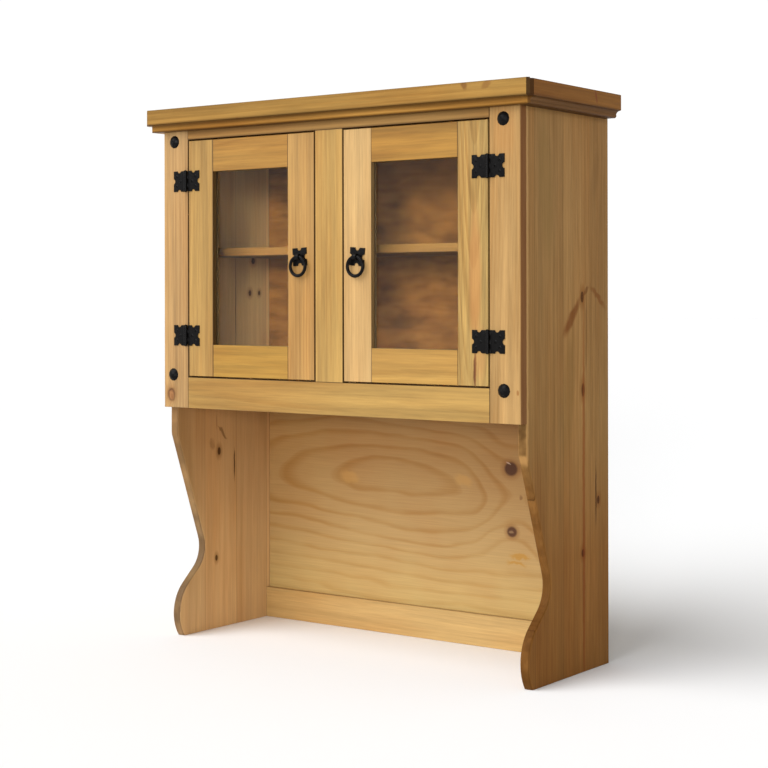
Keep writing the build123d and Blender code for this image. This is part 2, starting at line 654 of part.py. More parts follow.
def write_door(side):
    """Writes the nodes of one door; side is left or right."""
    place = flipped if side == "left" else (lambda shape: shape)
    name = side + "_door_"
    hinge, lock = door_stiles(side)
    low, high = tenon_spans()
    save(name + "hinge_stile", place(hinge))
    save(name + "lock_stile", place(lock))
    save(name + "bottom_rail", place(door_rail(DOOR_Z0, PANE_Z0, low)))
    save(name + "top_rail", place(door_rail(PANE_Z1, DOOR_Z1, high)))
    save(name + "glass", place(door_glass()))
    save(name + "beads", *[place(bead) for bead in door_beads()])
    leaf = mirror(hinge_leaf([1, 3]), about=Plane.YZ)
    save(name + "hinge_leaves", *[place(Pos(HINGE_X[side], FACE_Y, z) * leaf) for z in HINGE_ZS[side]])
    save(name + "hinge_screws", *[place(s) for s in hinge_screws(side, -1)])
    strike = rod(CATCH_X, FACE_Y + DOOR_T - STRIKE_L, FACE_Y + DOOR_T, CATCH_Z, MAGNET_R)
    save(name + "strike_disc", place(strike))
    outward = -1 if side == "left" else 1
    save(side + "_pull_plate", Pos(outward * PULL_X[side], FACE_Y, PULL_Z[side]) * pull_plate(PULL_TILT[side]))
    save(side + "_pull_bolt", place(pull_bolt(side)))
    save(side + "_pull_ring", place(pull_ring(side)))


os.makedirs("parts", exist_ok=True)
write_carcass()
write_cornice()
write_frame_hardware()
write_door("left")
write_door("right")
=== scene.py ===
# %% [markdown]
# # A glazed pine hutch with iron hardware
# This lesson dresses the plain solids of a rustic hutch. The boards keep their solids and get wood that is
# grown in the shader. The hinges, pulls, nails and screws get finer meshes of their own.

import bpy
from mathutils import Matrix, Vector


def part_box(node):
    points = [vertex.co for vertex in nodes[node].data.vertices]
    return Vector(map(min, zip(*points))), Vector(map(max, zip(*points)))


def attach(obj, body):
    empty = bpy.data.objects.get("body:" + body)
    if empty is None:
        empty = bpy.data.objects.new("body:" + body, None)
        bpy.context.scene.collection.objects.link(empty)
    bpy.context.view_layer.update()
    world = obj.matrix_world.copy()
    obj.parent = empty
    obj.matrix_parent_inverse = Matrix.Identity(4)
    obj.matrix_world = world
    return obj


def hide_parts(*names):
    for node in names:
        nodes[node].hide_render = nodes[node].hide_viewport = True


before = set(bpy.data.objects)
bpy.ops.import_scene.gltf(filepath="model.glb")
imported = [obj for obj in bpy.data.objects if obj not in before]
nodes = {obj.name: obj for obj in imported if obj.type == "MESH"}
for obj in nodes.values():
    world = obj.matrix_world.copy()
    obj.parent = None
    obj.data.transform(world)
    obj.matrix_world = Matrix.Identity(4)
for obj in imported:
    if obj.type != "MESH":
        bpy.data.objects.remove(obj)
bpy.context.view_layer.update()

# %% Other modules
import math

import bmesh
import bpy
from mathutils import Matrix, Vector

MM = 0.001
print("one millimetre is", MM, "of Blender's units")

# %% [markdown]
# ## Two small helpers
# Paint charts give colours as sRGB hex codes, but a renderer adds up light, so every colour goes through
# one function that makes it linear. The other helper adds a node with its settings and its links, so that
# a node tree reads like a list of steps.


# %% Colour and node helpers
def linear(code):
    """An sRGB hex colour as linear RGBA."""
    channels = [int(code[i : i + 2], 16) / 255 for i in (1, 3, 5)]
    return [c / 12.92 if c <= 0.04045 else ((c + 0.055) / 1.055) ** 2.4 for c in channels] + [1.0]


def add(tree, kind, inputs=(), **settings):
    """Adds a node. Inputs are a list in order, or a dict by name or number. A node gives its first output."""
    node = tree.nodes.new(kind)
    for name, value in settings.items():
        setattr(node, name, value)
    for name, value in inputs.items() if isinstance(inputs, dict) else enumerate(inputs):
        if isinstance(value, bpy.types.Node):
            value = next(output for output in value.outputs if output.enabled)
        if isinstance(value, bpy.types.NodeSocket):
            tree.links.new(value, node.inputs[name])
        else:
            node.inputs[name].default_value = value
    return node


def new_material(name):
    """An empty material and its node tree."""
    material = bpy.data.materials.new(name)
    material.use_nodes = True
    material.node_tree.nodes.clear()
    return material, material.node_tree


print("middle grey in light:", round(linear("#808080")[0], 3))

# %% [markdown]
# ## Camera
# A long lens about three metres away keeps the uprights parallel. The camera could look down a little, but
# then the uprights would lean. So the lens is level and the frame is shifted down instead, as with an
# architect's view camera.

# %% Camera
CAMERA_AT = (2.0157, -2.7230, 0.7068)
CAMERA_YAW = math.radians(36.191)
CAMERA_ROLL = -0.0019
LENS_PER_WIDTH = 1706.5813 / 768
HORIZON_SHIFT = (294.5218 - 384) / 768

camera_data = bpy.data.cameras.new("view_camera")
camera_data.sensor_width = 36.0
camera_data.lens = 36.0 * LENS_PER_WIDTH
camera_data.shift_y = HORIZON_SHIFT
camera_data.clip_end = 50.0
camera = bpy.data.objects.new("view_camera", camera_data)
turn = Matrix.Rotation(CAMERA_YAW, 4, "Z") @ Matrix.Rotation(math.pi / 2, 4, "X")
camera.matrix_world = Matrix.Translation(CAMERA_AT) @ turn @ Matrix.Rotation(CAMERA_ROLL, 4, "Z")
bpy.context.scene.collection.objects.link(camera)
bpy.context.scene.camera = camera
print("camera lens", round(camera_data.lens, 2), "mm")

# %% [markdown]
# ## Floor and light
# A product studio in white: a white floor, a band of white behind it all round, and dimmer walls above.
# One large soft key stands high in front on the left, far enough off to light the whole floor evenly, so
# the right flank and the open bay fall into shade and no hard edge shows anywhere. A second, low and weak
# lamp on the right keeps that shade from going black. Area lamps would do too, but they light a near floor
# unevenly, so both are suns with a wide disc.


# %% Floor
def floor_sheet(half, level):
    """A wide flat sheet just under the hutch."""
    mesh = bpy.data.meshes.new("studio_floor")
    corners = [(-half, -half, level), (half, -half, level), (half, half, level), (-half, half, level)]
    mesh.from_pydata(corners, [], [(0, 1, 2, 3)])
    sheet = bpy.data.objects.new("studio_floor", mesh)
    bpy.context.scene.collection.objects.link(sheet)
    return sheet


# seamless paper is matt and even, so the eye finds only soft shade on it
material, tree = new_material("white_seamless_paper")
paper = add(tree, "ShaderNodeBsdfPrincipled", {"Base Color": linear("#F5F5F5"), "Roughness": 0.9})
add(tree, "ShaderNodeOutputMaterial", [paper])
floor = floor_sheet(60.0, -0.4 * MM)
floor.data.materials.append(material)
print("floor sheet", round(floor.dimensions.x), "m wide")

# %% Soft key and low fill
LAMPS = [
    # name, strength, then in degrees: width of its disc, height above the horizon, turn to the left of ahead
    ("soft_key", 3.2, 58, 44, 26),
    ("low_fill", 1.1, 9, 7, -26),
]
for name, strength, width, rise, left in LAMPS:
    data = bpy.data.lights.new(name, "SUN")
    data.energy, data.angle = strength, math.radians(width)
    rise, left = math.radians(rise), math.radians(left)
    towards = Vector((-math.sin(left) * math.cos(rise), -math.cos(left) * math.cos(rise), math.sin(rise)))
    lamp = bpy.data.objects.new(name, data)
    lamp.rotation_euler = towards.to_track_quat("Z", "Y").to_euler()
    bpy.context.scene.collection.objects.link(lamp)
print("lamps:", [lamp[0] for lamp in LAMPS])

# %% White surround
BAND_TOP, WALL_FROM = 0.21, 0.42  # sines of the angles above the horizon where the white ends
BAND_LIGHT, WALL_LIGHT = 1.03, 0.3

world = bpy.data.worlds.new("studio_surround")
world.use_nodes = True
tree = world.node_tree
tree.nodes.clear()
upward = add(tree, "ShaderNodeSeparateXYZ", [add(tree, "ShaderNodeTexCoord").outputs["Generated"]])
fade = [upward.outputs["Z"], BAND_TOP, WALL_FROM, BAND_LIGHT, WALL_LIGHT]
strength = add(tree, "ShaderNodeMapRange", fade)
background = add(tree, "ShaderNodeBackground", {"Color": linear("#FFFFFF"), "Strength": strength})
add(tree, "ShaderNodeOutputWorld", [background])
bpy.context.scene.world = world
bpy.context.scene.view_settings.view_transform = "Standard"
print("surround:", BAND_LIGHT, "low down and", WALL_LIGHT, "above")

# %% [markdown]
# ## Waxed pine
# Pine is pale early wood and thin amber late wood in rings round the pith of the tree. A wave texture
# would give stripes, but they never open into arches as a sawn face does. A board is a slice of a tree,
# so the shader measures how far each point lies from a tilted pith line outside the board and turns the
# distance into rings. Fast-grown pine has them 5 to 10 mm apart. The face then shows straight streaks or
# pointed arches, as the saw left it. Knots bend the rings round them. Wax gives a soft, even sheen with a
# little unevenness along the fibres.

# %% Board coordinates
AXIS = {"X": 0, "Y": 1, "Z": 2}


def board_point(tree, node, along):
    """Point on a board as (across, through, along), in metres from the board's middle."""
    low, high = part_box(node)
    size = high - low
    through, across = sorted((a for a in "XYZ" if a != along), key=lambda a: size[AXIS[a]])
    place = add(tree, "ShaderNodeTexCoord").outputs["Object"]
    local = add(tree, "ShaderNodeVectorMath", [place, (low + high) / 2], operation="SUBTRACT")
    parts = add(tree, "ShaderNodeSeparateXYZ", [local]).outputs
    return add(tree, "ShaderNodeCombineXYZ", [parts[across], parts[through], parts[along]])


# %% [markdown]
# ### Steps that wood shaders share
# Boards and plywood are grown by the same few steps, so each step is a small function: noise stretched
# along the grain, a push by noise, a distance from a spot, the tone of one ring, and a tint laid over.


# %% Measures
def grain_noise(tree, point, lumps, shift=(0, 0, 0), detail=2.0, roughness=0.5):
    """Noise with its own number of lumps per metre on each of the three axes."""
    place = add(tree, "ShaderNodeMapping", {"Vector": point, "Location": shift, "Scale": lumps})
    noise = {"Vector": place, "Scale": 1.0, "Detail": detail, "Roughness": roughness}
    return add(tree, "ShaderNodeTexNoise", noise)


def shoved(tree, point, noise, reach):
    """The point moved by a noise, up to about half the reach in metres on each axis."""
    push = add(tree, "ShaderNodeVectorMath", [noise.outputs["Color"], (0.5, 0.5, 0.5)], operation="SUBTRACT")
    return add(tree, "ShaderNodeVectorMath", [push, reach, point], operation="MULTIPLY_ADD")


def away_from(tree, point, spot):
    """How far from a spot's middle, counted in the spot's own half sizes."""
    local = add(tree, "ShaderNodeMapping", {"Vector": point, **spot}, vector_type="TEXTURE")
    return add(tree, "ShaderNodeVectorMath", [local], operation="LENGTH")


def apart(tree, value, place):
    """How far a value is from a place, either way."""
    gap = add(tree, "ShaderNodeMath", [value, place], operation="SUBTRACT")
    return add(tree, "ShaderNodeMath", [gap], operation="ABSOLUTE")


def facing(tree, direction):
    """How squarely a face looks in a direction, from -1 to 1."""
    normal = add(tree, "ShaderNodeTexCoord").outputs["Normal"]
    return add(tree, "ShaderNodeVectorMath", [normal, direction], operation="DOT_PRODUCT")


print("measures: noise, push, distance, gap and facing")

# %% Rings and tints
FAR = 1000.0  # half size of a spot on an axis that it doesn't depend on


def bent_round(tree, field, distance, near, far, lift):
    """A field of rings, lifted close to a knot so that the rings bend round it."""
    bump = [distance, near, far, lift, 0.0]
    bump = add(tree, "ShaderNodeMapRange", bump, interpolation_type="SMOOTHERSTEP")
    return add(tree, "ShaderNodeMath", [field, bump], operation="ADD")


def ring_tone(tree, count, rise):
    """How much late wood, from 0 to 1 over each ring. The rise is (place in the ring, tone) pairs."""
    part = add(tree, "ShaderNodeMath", [count], operation="FRACT")
    ramp = add(tree, "ShaderNodeValToRGB", [part])
    ramp.color_ramp.interpolation = "EASE"
    stops = ramp.color_ramp.elements
    stops[0].color, stops[1].color = (0, 0, 0, 1), (0, 0, 0, 1)
    for place, tone in rise:
        stops.new(place).color = (tone, tone, tone, 1)
    return ramp


def scaled(colour, red, green, blue):
    """A linear colour with its channels scaled."""
    return [colour[0] * red, colour[1] * green, colour[2] * blue, 1.0]


def laid_over(tree, colour, tint, measure, start, end, first, last, **ease):
    """A tint over a colour. Its share goes from first to last as the measure goes from start to end."""
    share = add(tree, "ShaderNodeMapRange", [measure, start, end, first, last], **ease)
    return add(tree, "ShaderNodeMix", {0: share, 6: colour, 7: tint}, data_type="RGBA")


print("a spot with no end on an axis is", FAR, "m long there")

# %% [markdown]
# ### Wax, painted shade, tones and stain marks
# An old piece is darker where wax has gathered in a joint, paler where it was rubbed, and has stains in
# places. Dark lines are also painted where shade falls: in the gaps round the doors, beside the panes and
# under the cornice. Some tones by height paint the shade under the cupboard floor. Each mark could be
# painted on an image, but a mark given by place and size in millimetres stays sharp at any distance. Noise
# pushes its outline about, so that none looks drawn.

# %% Wax, painted shade, tones and stain marks
# the tint of dark wax in joints and of painted shade in gaps and under overhangs
WAX_AND_SHADE_TINT = "#2B1403"
TOP = 1.1  # metres, just above the cornice
WOBBLE = (4 * MM, 4 * MM, 20 * MM)


def wax_and_shade_lines(tree, colour, lines):
    """Dark wax in joints, painted shade in gaps and under overhangs. A line is (axis, place, reach, share),
    in mm.
    """
    parts = add(tree, "ShaderNodeSeparateXYZ", [add(tree, "ShaderNodeTexCoord").outputs["Object"]]).outputs
    for axis, place, reach, share in lines:
        size = apart(tree, parts[axis], place * MM)
        colour = laid_over(tree, colour, linear(WAX_AND_SHADE_TINT), size, 0.0, reach * MM, share, 0.0)
    return colour


def inward(tree, colour, changed, outward):
    """The changed colour, but not on the face that looks outward."""
    outer = add(tree, "ShaderNodeMath", [facing(tree, outward), 0.7], operation="GREATER_THAN")
    return add(tree, "ShaderNodeMix", {0: outer, 6: changed, 7: colour}, data_type="RGBA")


def toned(tree, colour, stops):
    """The colour times a tone that changes with height. A stop is (height in mm, red, green, blue)."""
    parts = add(tree, "ShaderNodeSeparateXYZ", [add(tree, "ShaderNodeTexCoord").outputs["Object"]]).outputs
    ramp = add(tree, "ShaderNodeValToRGB", [add(tree, "ShaderNodeMapRange", [parts["Z"], 0.0, TOP])])
    while len(ramp.color_ramp.elements) < len(stops):
        ramp.color_ramp.elements.new(0.5)
    for stop, (place, *tint) in zip(ramp.color_ramp.elements, stops):
        stop.position, stop.color = place * MM / TOP, (*tint, 1.0)
    return add(tree, "ShaderNodeVectorMath", [colour, ramp], operation="MULTIPLY")


def stained_and_lit(tree, colour, axis, marks):
    """Soft-edged stain marks and painted highlights on a face that runs along X or Y. Lengths are in mm. A
    mark is (place on the axis, height, half width, half height, turn in degrees, colour, share)."""
    place = add(tree, "ShaderNodeTexCoord").outputs["Object"]
    cloud = add(tree, "ShaderNodeTexNoise", {"Vector": place, "Scale": 60.0, "Detail": 2.0})
    loose = shoved(tree, place, cloud, WOBBLE)
    for across, z, half_wide, half_high, turn, tint, share in marks:
        middle, size, angle = (across * MM, 0), (half_wide * MM, FAR), (0, math.radians(turn))
        if axis == "Y":
            middle, size, angle = middle[::-1], size[::-1], angle[::-1]
        spot = {"Location": (*middle, z * MM), "Scale": (*size, half_high * MM), "Rotation": (*angle, 0)}
        distance = away_from(tree, loose, spot)
        fade = (distance, 0.45, 1.1, share, 0.0)
        colour = laid_over(tree, colour, linear(tint), *fade, interpolation_type="SMOOTHSTEP")
    return colour


print("joint wax is", WAX_AND_SHADE_TINT)

# %% [markdown]
# ### The figure of a board
# A saw cuts each board at its own distance from the pith, through wood that grew fast or slowly. So a board
# is described by a few numbers of its tree and of its wear, and the steps below turn them into colour.

# %% What a board can have
PLAIN = {
    # lengths in mm, tilts in radians
    "seed": 0.0,
    "pith": (90, 25), "tilt": (0.0, 0.0), "ring": 8.0, "wave": 7.0,  # where its rings come from
    "contrast": 0.6, "blush": 0.5, "bands": 0.2, "fibre": 0.14,  # how strongly they show
    "knots": (), "plank": None,  # (across, along, radius, height over width), and (plank width, offset)
    # wax lines are dark wax in joints and painted shade in gaps and under overhangs
    "joint": None, "clip": 0.0, "wax": (), "stains_and_highlights": (),  # where it is dark
    # a darker side is partly cut grain and wax, partly painted shade
    "edge": None, "edge_tint": WAX_AND_SHADE_TINT, "uneven": 1.0,  # (direction, start, end, share) of a darker side
    # tones by height paint shade on some boards, such as in the bay under the cupboard floor
    "tones": (), "bare": (0, 0, 0),  # tone by height, and the side that has none
    "gloss": 0.25,
}
print("a board can have", len(PLAIN), "things of its own")

# %% Planks and knots
SEAM = 0.8  # half width of the joint between planks, in mm
PLANK_JUMP = (0.12, 0.05, 0.9)  # how far a plank's figure may lie from its neighbour's, in metres


def planked(tree, point, width, offset):
    """Boards glued edge to edge. Each has its own figure and tone, with a fine dark joint between."""
    across = add(tree, "ShaderNodeSeparateXYZ", [point]).outputs["X"]
    count = add(tree, "ShaderNodeMath", [across, 1 / (width * MM), offset], operation="MULTIPLY_ADD")
    plank = add(tree, "ShaderNodeMath", [count], operation="FLOOR")
    draw = add(tree, "ShaderNodeTexWhiteNoise", {"W": plank}, noise_dimensions="1D").outputs
    jump = [draw["Color"], PLANK_JUMP, point]
    own = add(tree, "ShaderNodeMapRange", [draw["Value"], 0.0, 1.0, 0.9, 1.08])
    seam = apart(tree, add(tree, "ShaderNodeMath", [count], operation="FRACT"), 0.5)
    line = add(tree, "ShaderNodeMapRange", [seam, 0.5 - SEAM / width, 0.5, 1.0, 0.5])
    shade = add(tree, "ShaderNodeMath", [own, line], operation="MULTIPLY")
    return add(tree, "ShaderNodeVectorMath", jump, operation="MULTIPLY_ADD"), shade


def knot_distance(tree, point, knot):
    """How far from a knot, in knot radii."""
    across, along, radius, tall = knot
    size = (radius * MM, FAR, radius * tall * MM)
    return away_from(tree, point, {"Location": (across * MM, 0, along * MM), "Scale": size})


def knotty(tree, colour, knots):
    """A red halo round each knot, then a brown heart with rings of its own."""
    for distance, radius in knots:
        colour = laid_over(tree, colour, linear("#74420F"), distance, 0.9, 2.6, 0.5, 0.0)
        turns = add(tree, "ShaderNodeMath", [distance, 14.0], operation="MULTIPLY")
        wave = add(tree, "ShaderNodeMath", [turns], operation="SINE")
        heart = laid_over(tree, linear("#38200A"), linear("#553210"), wave, -1.0, 1.0, 0.0, 1.0)
        colour = laid_over(tree, colour, heart, distance, 0.8, 1.1, 0.9, 0.0)
    return colour


print("joints between planks are", 2 * SEAM, "mm wide")

# %% Rings, bands and fibres
SLOW_RISE = ((0.42, 0.2), (0.8, 1.0), (0.93, 0.8))  # late wood builds up slowly and ends abruptly


def growth_rings(tree, point, knots, figure):
    """How much late wood, with rings that wave and bend round the knots."""
    seed, push = figure["seed"], figure["wave"] * MM * 2
    wavy = shoved(tree, point, grain_noise(tree, point, (7, 7, 1.3), (seed, seed * 1.7, 0)), (push, push, 0))
    pith = (figure["pith"][0] * MM, figure["pith"][1] * MM, 0)
    radius = away_from(tree, wavy, {"Location": pith, "Rotation": (*figure["tilt"], 0), "Scale": (1, 1, FAR)})
    for distance, size in knots:
        radius = bent_round(tree, radius, distance, 0.4, 4.5, size * 1.3 * MM)
    count = add(tree, "ShaderNodeMath", [radius, 1 / (figure["ring"] * MM)], operation="MULTIPLY")
    # good and bad years make wide and narrow rings
    years = add(tree, "ShaderNodeTexNoise", {"W": count, "Scale": 0.45, "Detail": 1.0}, noise_dimensions="1D")
    phase = add(tree, "ShaderNodeMath", [years, 1.6, count], operation="MULTIPLY_ADD")
    return ring_tone(tree, phase, SLOW_RISE)


def ring_colours(tree, point, ring, mean, figure):
    """Early and late wood. Their tone changes slowly, over a hand's width and half a metre."""
    # early wood is a sixth paler than the mean, and late wood is darker and redder
    early, late = scaled(mean, 1.15, 1.16, 1.18), scaled(mean, 0.80, 0.71, 0.58)
    patches = grain_noise(tree, point, (13, 13, 2.2), (figure["seed"], 0, 0), detail=3.0)
    fade = add(tree, "ShaderNodeMapRange", [patches, 0.36, 0.64, 0.15, 1.0])
    strength = add(tree, "ShaderNodeMath", [ring, fade], operation="MULTIPLY")
    colour = laid_over(tree, early, late, strength, 0.0, 1.0, 0.0, figure["contrast"])
    return laid_over(tree, colour, scaled(mean, 1.0, 0.80, 0.60), patches, 0.42, 0.72, 0.0, figure["blush"])


def streaks(tree, point, figure):
    """Bands a finger wide that run the length, and fibres a hand long. Real fibres are far finer than the
    millimetre or two here, which is as coarse as they need to be to show."""
    shift = (0, figure["seed"], 0)
    bands = grain_noise(tree, point, (52, 52, 1.4), shift, roughness=0.6)
    fibres = grain_noise(tree, point, (300, 300, 11), shift, detail=4.0, roughness=0.66)
    shades = [
        add(tree, "ShaderNodeMapRange", [noise, 0.3, 0.7, 1 - swing, 1 + swing])
        for noise, swing in ((bands, figure["bands"]), (fibres, figure["fibre"]))
    ]
    return fibres, add(tree, "ShaderNodeMath", shades, operation="MULTIPLY")


print("a growth ring is", PLAIN["ring"], "mm wide on most boards")

# %% Cut ends, sides and joints
END_GRAIN, RAIL_JOINT = "#2E1A06", "#2E1A0C"


def clipped(tree, colour, share):
    """A clipped corner shows end grain, which drinks wax and goes dark."""
    normal = add(tree, "ShaderNodeSeparateXYZ", [add(tree, "ShaderNodeTexCoord").outputs["Normal"]]).outputs
    product = add(tree, "ShaderNodeMath", [normal["X"], normal["Y"]], operation="MULTIPLY")
    slanted = add(tree, "ShaderNodeMath", [product], operation="ABSOLUTE")
    return laid_over(tree, colour, linear(END_GRAIN), slanted, 0.46, 0.49, 0.0, share)


def grain_and_shade_side(tree, colour, point, figure):
    """Sides that turn this way are darker: partly cut grain and wax, partly painted shade."""
    towards, start, end, share = figure["edge"]
    size = add(tree, "ShaderNodeMath", [facing(tree, towards)], operation="ABSOLUTE")
    there = add(tree, "ShaderNodeMapRange", [size, start, end, 0.0, share])
    lumps = add(tree, "ShaderNodeTexNoise", {"Vector": point, "Scale": 11.0, "Detail": 3.0})
    uneven = add(tree, "ShaderNodeMapRange", [lumps, 0.4, 0.55, figure["uneven"], 1.0])
    there = add(tree, "ShaderNodeMath", [there, uneven], operation="MULTIPLY")
    return add(tree, "ShaderNodeMix", {0: there, 6: colour, 7: linear(figure["edge_tint"])}, data_type="RGBA")


def jointed(tree, colour, straight, reach):
    """Dark wax stays in the joint where a rail meets its post, that far from the rail's middle."""
    out = apart(tree, add(tree, "ShaderNodeSeparateXYZ", [straight]).outputs["Z"], 0.0)
    return laid_over(tree, colour, linear(RAIL_JOINT), out, reach - 1.5 * MM, reach - 0.7 * MM, 0.0, 0.75)


print("end grain is", END_GRAIN, "and a rail's joint", RAIL_JOINT)

# %% The pine material
WAX_ROUGH, WAX_SMOOTH = 0.56, 0.42


def pine(node, along, tone, **look):
    """Waxed pine for one board of a mean tone. Wax fills the pores, so the eye gets a soft, even sheen
    that is a little duller between the fibres."""
    figure = {**PLAIN, **look}
    material, tree = new_material("waxed_pine_" + node)
    straight = point = board_point(tree, node, along)
    if figure["plank"]:
        point, plank_shade = planked(tree, point, *figure["plank"])
    knots = [(knot_distance(tree, straight, knot), knot[2]) for knot in figure["knots"]]
    ring = growth_rings(tree, point, knots, figure)
    colour = ring_colours(tree, point, ring, linear(tone), figure)
    fibres, shade = streaks(tree, point, figure)
    if figure["plank"]:
        shade = add(tree, "ShaderNodeMath", [shade, plank_shade], operation="MULTIPLY")
    colour = add(tree, "ShaderNodeVectorMath", {0: colour, "Scale": shade}, operation="SCALE")
    colour = knotty(tree, colour, knots)
    if figure["clip"]:
        colour = clipped(tree, colour, figure["clip"])
    if figure["edge"]:
        colour = grain_and_shade_side(tree, colour, point, figure)
    if figure["joint"]:
        colour = jointed(tree, colour, straight, figure["joint"] * MM)
    if figure["stains_and_highlights"]:
        colour = stained_and_lit(tree, colour, *figure["stains_and_highlights"])
    colour = wax_and_shade_lines(tree, colour, figure["wax"])
    if figure["tones"]:
        colour = inward(tree, colour, toned(tree, colour, figure["tones"]), figure["bare"])
    sheen = add(tree, "ShaderNodeMapRange", [fibres, 0.0, 1.0, WAX_ROUGH, WAX_SMOOTH])
    height = add(tree, "ShaderNodeMath", [fibres, ring], operation="ADD")
    bump = add(tree, "ShaderNodeBump", {"Height": height, "Strength": 0.35, "Distance": 0.12 * MM})
    waxed = {"Base Color": colour, "Roughness": sheen, "IOR": 1.5, "Normal": bump}
    waxed["Specular IOR Level"] = figure["gloss"]
    add(tree, "ShaderNodeOutputMaterial", [add(tree, "ShaderNodeBsdfPrincipled", waxed)])
    return material


print("waxed pine, roughness", WAX_SMOOTH, "to", WAX_ROUGH)

# %% [markdown]
# ## A board at a time
# Every board was cut from another tree, so each has its own pith, ring width and tone. Uprights are mostly
# cut beside the pith and show straight streaks. The rails are browner and more figured. The wide side
# panels are planks glued edge to edge, and their knots are where branches passed through.

# %% Boards of the face frame
RIGHT = (1, 0, 0)

BOARDS = {
    # node: (grain, mean tone, look)
    # the wax lines along the door gaps and the stiles' darker sides are painted shade
    "stile_left": ("Z", "#98784C", dict(
        seed=1.1, knots=[(-13.5, -260.5, 8, 1.25)], edge=(RIGHT, 0.5, 0.95, 0.3),
        wax=[("X", -365.2, 1.3, 0.45)],
        stains_and_highlights=("X", [
            # a knot with a pale ring in it
            (-411, 503, 13, 17, 0, "#543114", 0.85), (-411, 503, 8, 11, 0, "#96663A", 0.85),
            (-410, 500, 3, 6, 0, "#704420", 0.6),
        ]),
    )),
    "stile_right": ("Z", "#98784C", dict(
        seed=2.3, pith=(-120, 30), tilt=(0.0, 0.03), gloss=0.03, edge=(RIGHT, 0.5, 0.95, 0.62),
        edge_tint="#6A2E04",
        wax=[("X", 365.2, 1.3, 0.7), ("X", 430.0, 2.5, 0.3)],
        stains_and_highlights=("X", [(398, 1000, 26, 60, 0, "#A87A48", 0.35), (424, 533, 3, 5, 0, "#7A4A22", 0.6)]),
    )),
    "mullion": ("Z", "#987840", dict(
        seed=3.7, pith=(60, 70), joint=242.5, wax=[("X", -33.2, 1.4, 0.85), ("X", 33.2, 1.4, 0.85)],
    )),
    # a painted shadow under the cornice, and painted shade along the gap above the doors
    "top_rail": ("X", "#9C7640", dict(
        seed=4.9, pith=(10, 60), gloss=0.15, joint=365.0,
        wax=[("Z", 1043.0, 20, 0.55), ("Z", 1023.0, 5, 0.85)],
    )),
    "bottom_rail": ("X", "#94743C", dict(
        seed=5.2, pith=(8, 55), tilt=(0.02, 0.0), joint=365.0, wax=[("Z", 538.8, 1.2, 0.85)],
    )),
    "stop_batten": ("Z", "#A07C50", dict(seed=6.1)),
}
print("boards of the face frame:", len(BOARDS))

# %% Boards inside and side panels
BOARDS |= {
    "cupboard_floor": ("X", "#A07C50", dict(seed=7.4, plank=(98, 0.3))),
    "shelf": ("X", "#7A5428", dict(seed=8.6, plank=(98, 0.1), gloss=0.1)),
    "top_panel": ("X", "#A07C50", dict(seed=9.8, plank=(98, 0.7))),
    # the wax line is painted shade where the rail meets the back
    "back_rail": ("X", "#AA8A56", dict(
        seed=10.3, pith=(5, 70), contrast=0.35, bands=0.08, wax=[("Z", 65.0, 2.0, 0.3)],
    )),
    # the left panel is so pale that its rings are drawn 15 mm apart, coarser than real ones, to show
    "side_panel_left": ("Z", "#CAA26E", dict(
        seed=11.5, plank=(100, 0.655), wave=9, ring=15.0, contrast=0.28, bands=0.07, fibre=0.08, gloss=0.15,
        knots=[
            (-21, -153, 5, 1.7), (-30, -379, 4, 1.6), (92, 253, 6, 1.2), (81, 183, 5, 1.3),
            (112, 183, 4, 1.3),
        ],
        # its edges are darker partly as cut grain and partly as painted shade; the wax line is painted shade
        # in the corner by the back
        edge=(RIGHT, 0.97, 0.75, 0.78), uneven=0.55, wax=[("Y", 166.5, 2.0, 0.5)],
        # on the inner face the tones paint the shade under the cupboard floor, darkest just below it
        bare=(-1, 0, 0), tones=[
            (0, 0.88, 0.88, 0.88), (200, 0.84, 0.84, 0.84), (400, 0.64, 0.58, 0.52), (529, 0.6, 0.53, 0.47),
            (531, 1.0, 0.99, 0.95),
        ],
        stains_and_highlights=("Y", [
            # streaks and a crack below the cupboard floor
            (11, 413, 4, 24, 45, "#6E4526", 0.6), (-8, 436, 2, 24, 0, "#6E4526", 0.35),
            (49, 342, 2.6, 38, 0, "#3E2312", 0.85), (-22, 389, 10, 14, 20, "#7A5233", 0.35),
            # a darker plank, and patches and an open joint behind the glass
            (-100, 300, 34, 260, 6, "#A98452", 0.4), (-60, 640, 16, 90, 20, "#5E4630", 0.35),
            (55, 690, 1.6, 110, 0, "#2E2014", 0.8), (70, 800, 40, 120, 0, "#A08060", 0.3),
        ]),
    )),
    "side_panel_right": ("Z", "#8A683C", dict(
        seed=12.6, plank=(100, 0.2), wave=12, ring=11.0, contrast=0.5, bands=0.12, fibre=0.13, gloss=0.03,
        knots=[(53, 0, 6, 2.2), (50, 174, 6, 1.8), (52, -305, 6, 1.3), (110, -211, 5, 1.6)],
        # its edges are darker partly as painted shade; the wax line is painted shade in the groove beside the
        # stile
        edge=(RIGHT, 0.97, 0.75, 0.5), uneven=0.25, wax=[("Y", -129.0, 1.4, 0.6)],
        bare=(-1, 0, 0), tones=[
            (0, 0.75, 0.6, 0.42), (220, 0.8, 0.64, 0.46), (480, 1.0, 0.99, 0.96), (900, 1.0, 1.0, 1.04),
        ],
        stains_and_highlights=("Y", [
            # branches that lie in the face, and the crack beside them
            (32, 664, 13, 54, -41, "#6A370C", 0.75), (84, 713, 6, 17, 130, "#5E320C", 0.6),
            (130, 702, 8, 41, 54, "#6A370C", 0.55), (87, 640, 2.2, 110, 0, "#55300F", 0.5),
            # a painted highlight along the front arris, the red heart streak and the crack low down
            (-125, 765, 4.2, 900, 0, "#B48C58", 0.6), (76, 300, 6, 480, 0, "#7A3A0A", 0.6),
            (122, 332, 3, 71, 0, "#38200A", 0.8),
            # greener patches
            (-60, 900, 30, 160, 4, "#7A6034", 0.4), (20, 520, 26, 140, -5, "#74592E", 0.35),
            (120, 930, 16, 60, -12, "#5F4224", 0.15),
        ]),
    )),
}
print("with the inside and the side panels:", len(BOARDS))

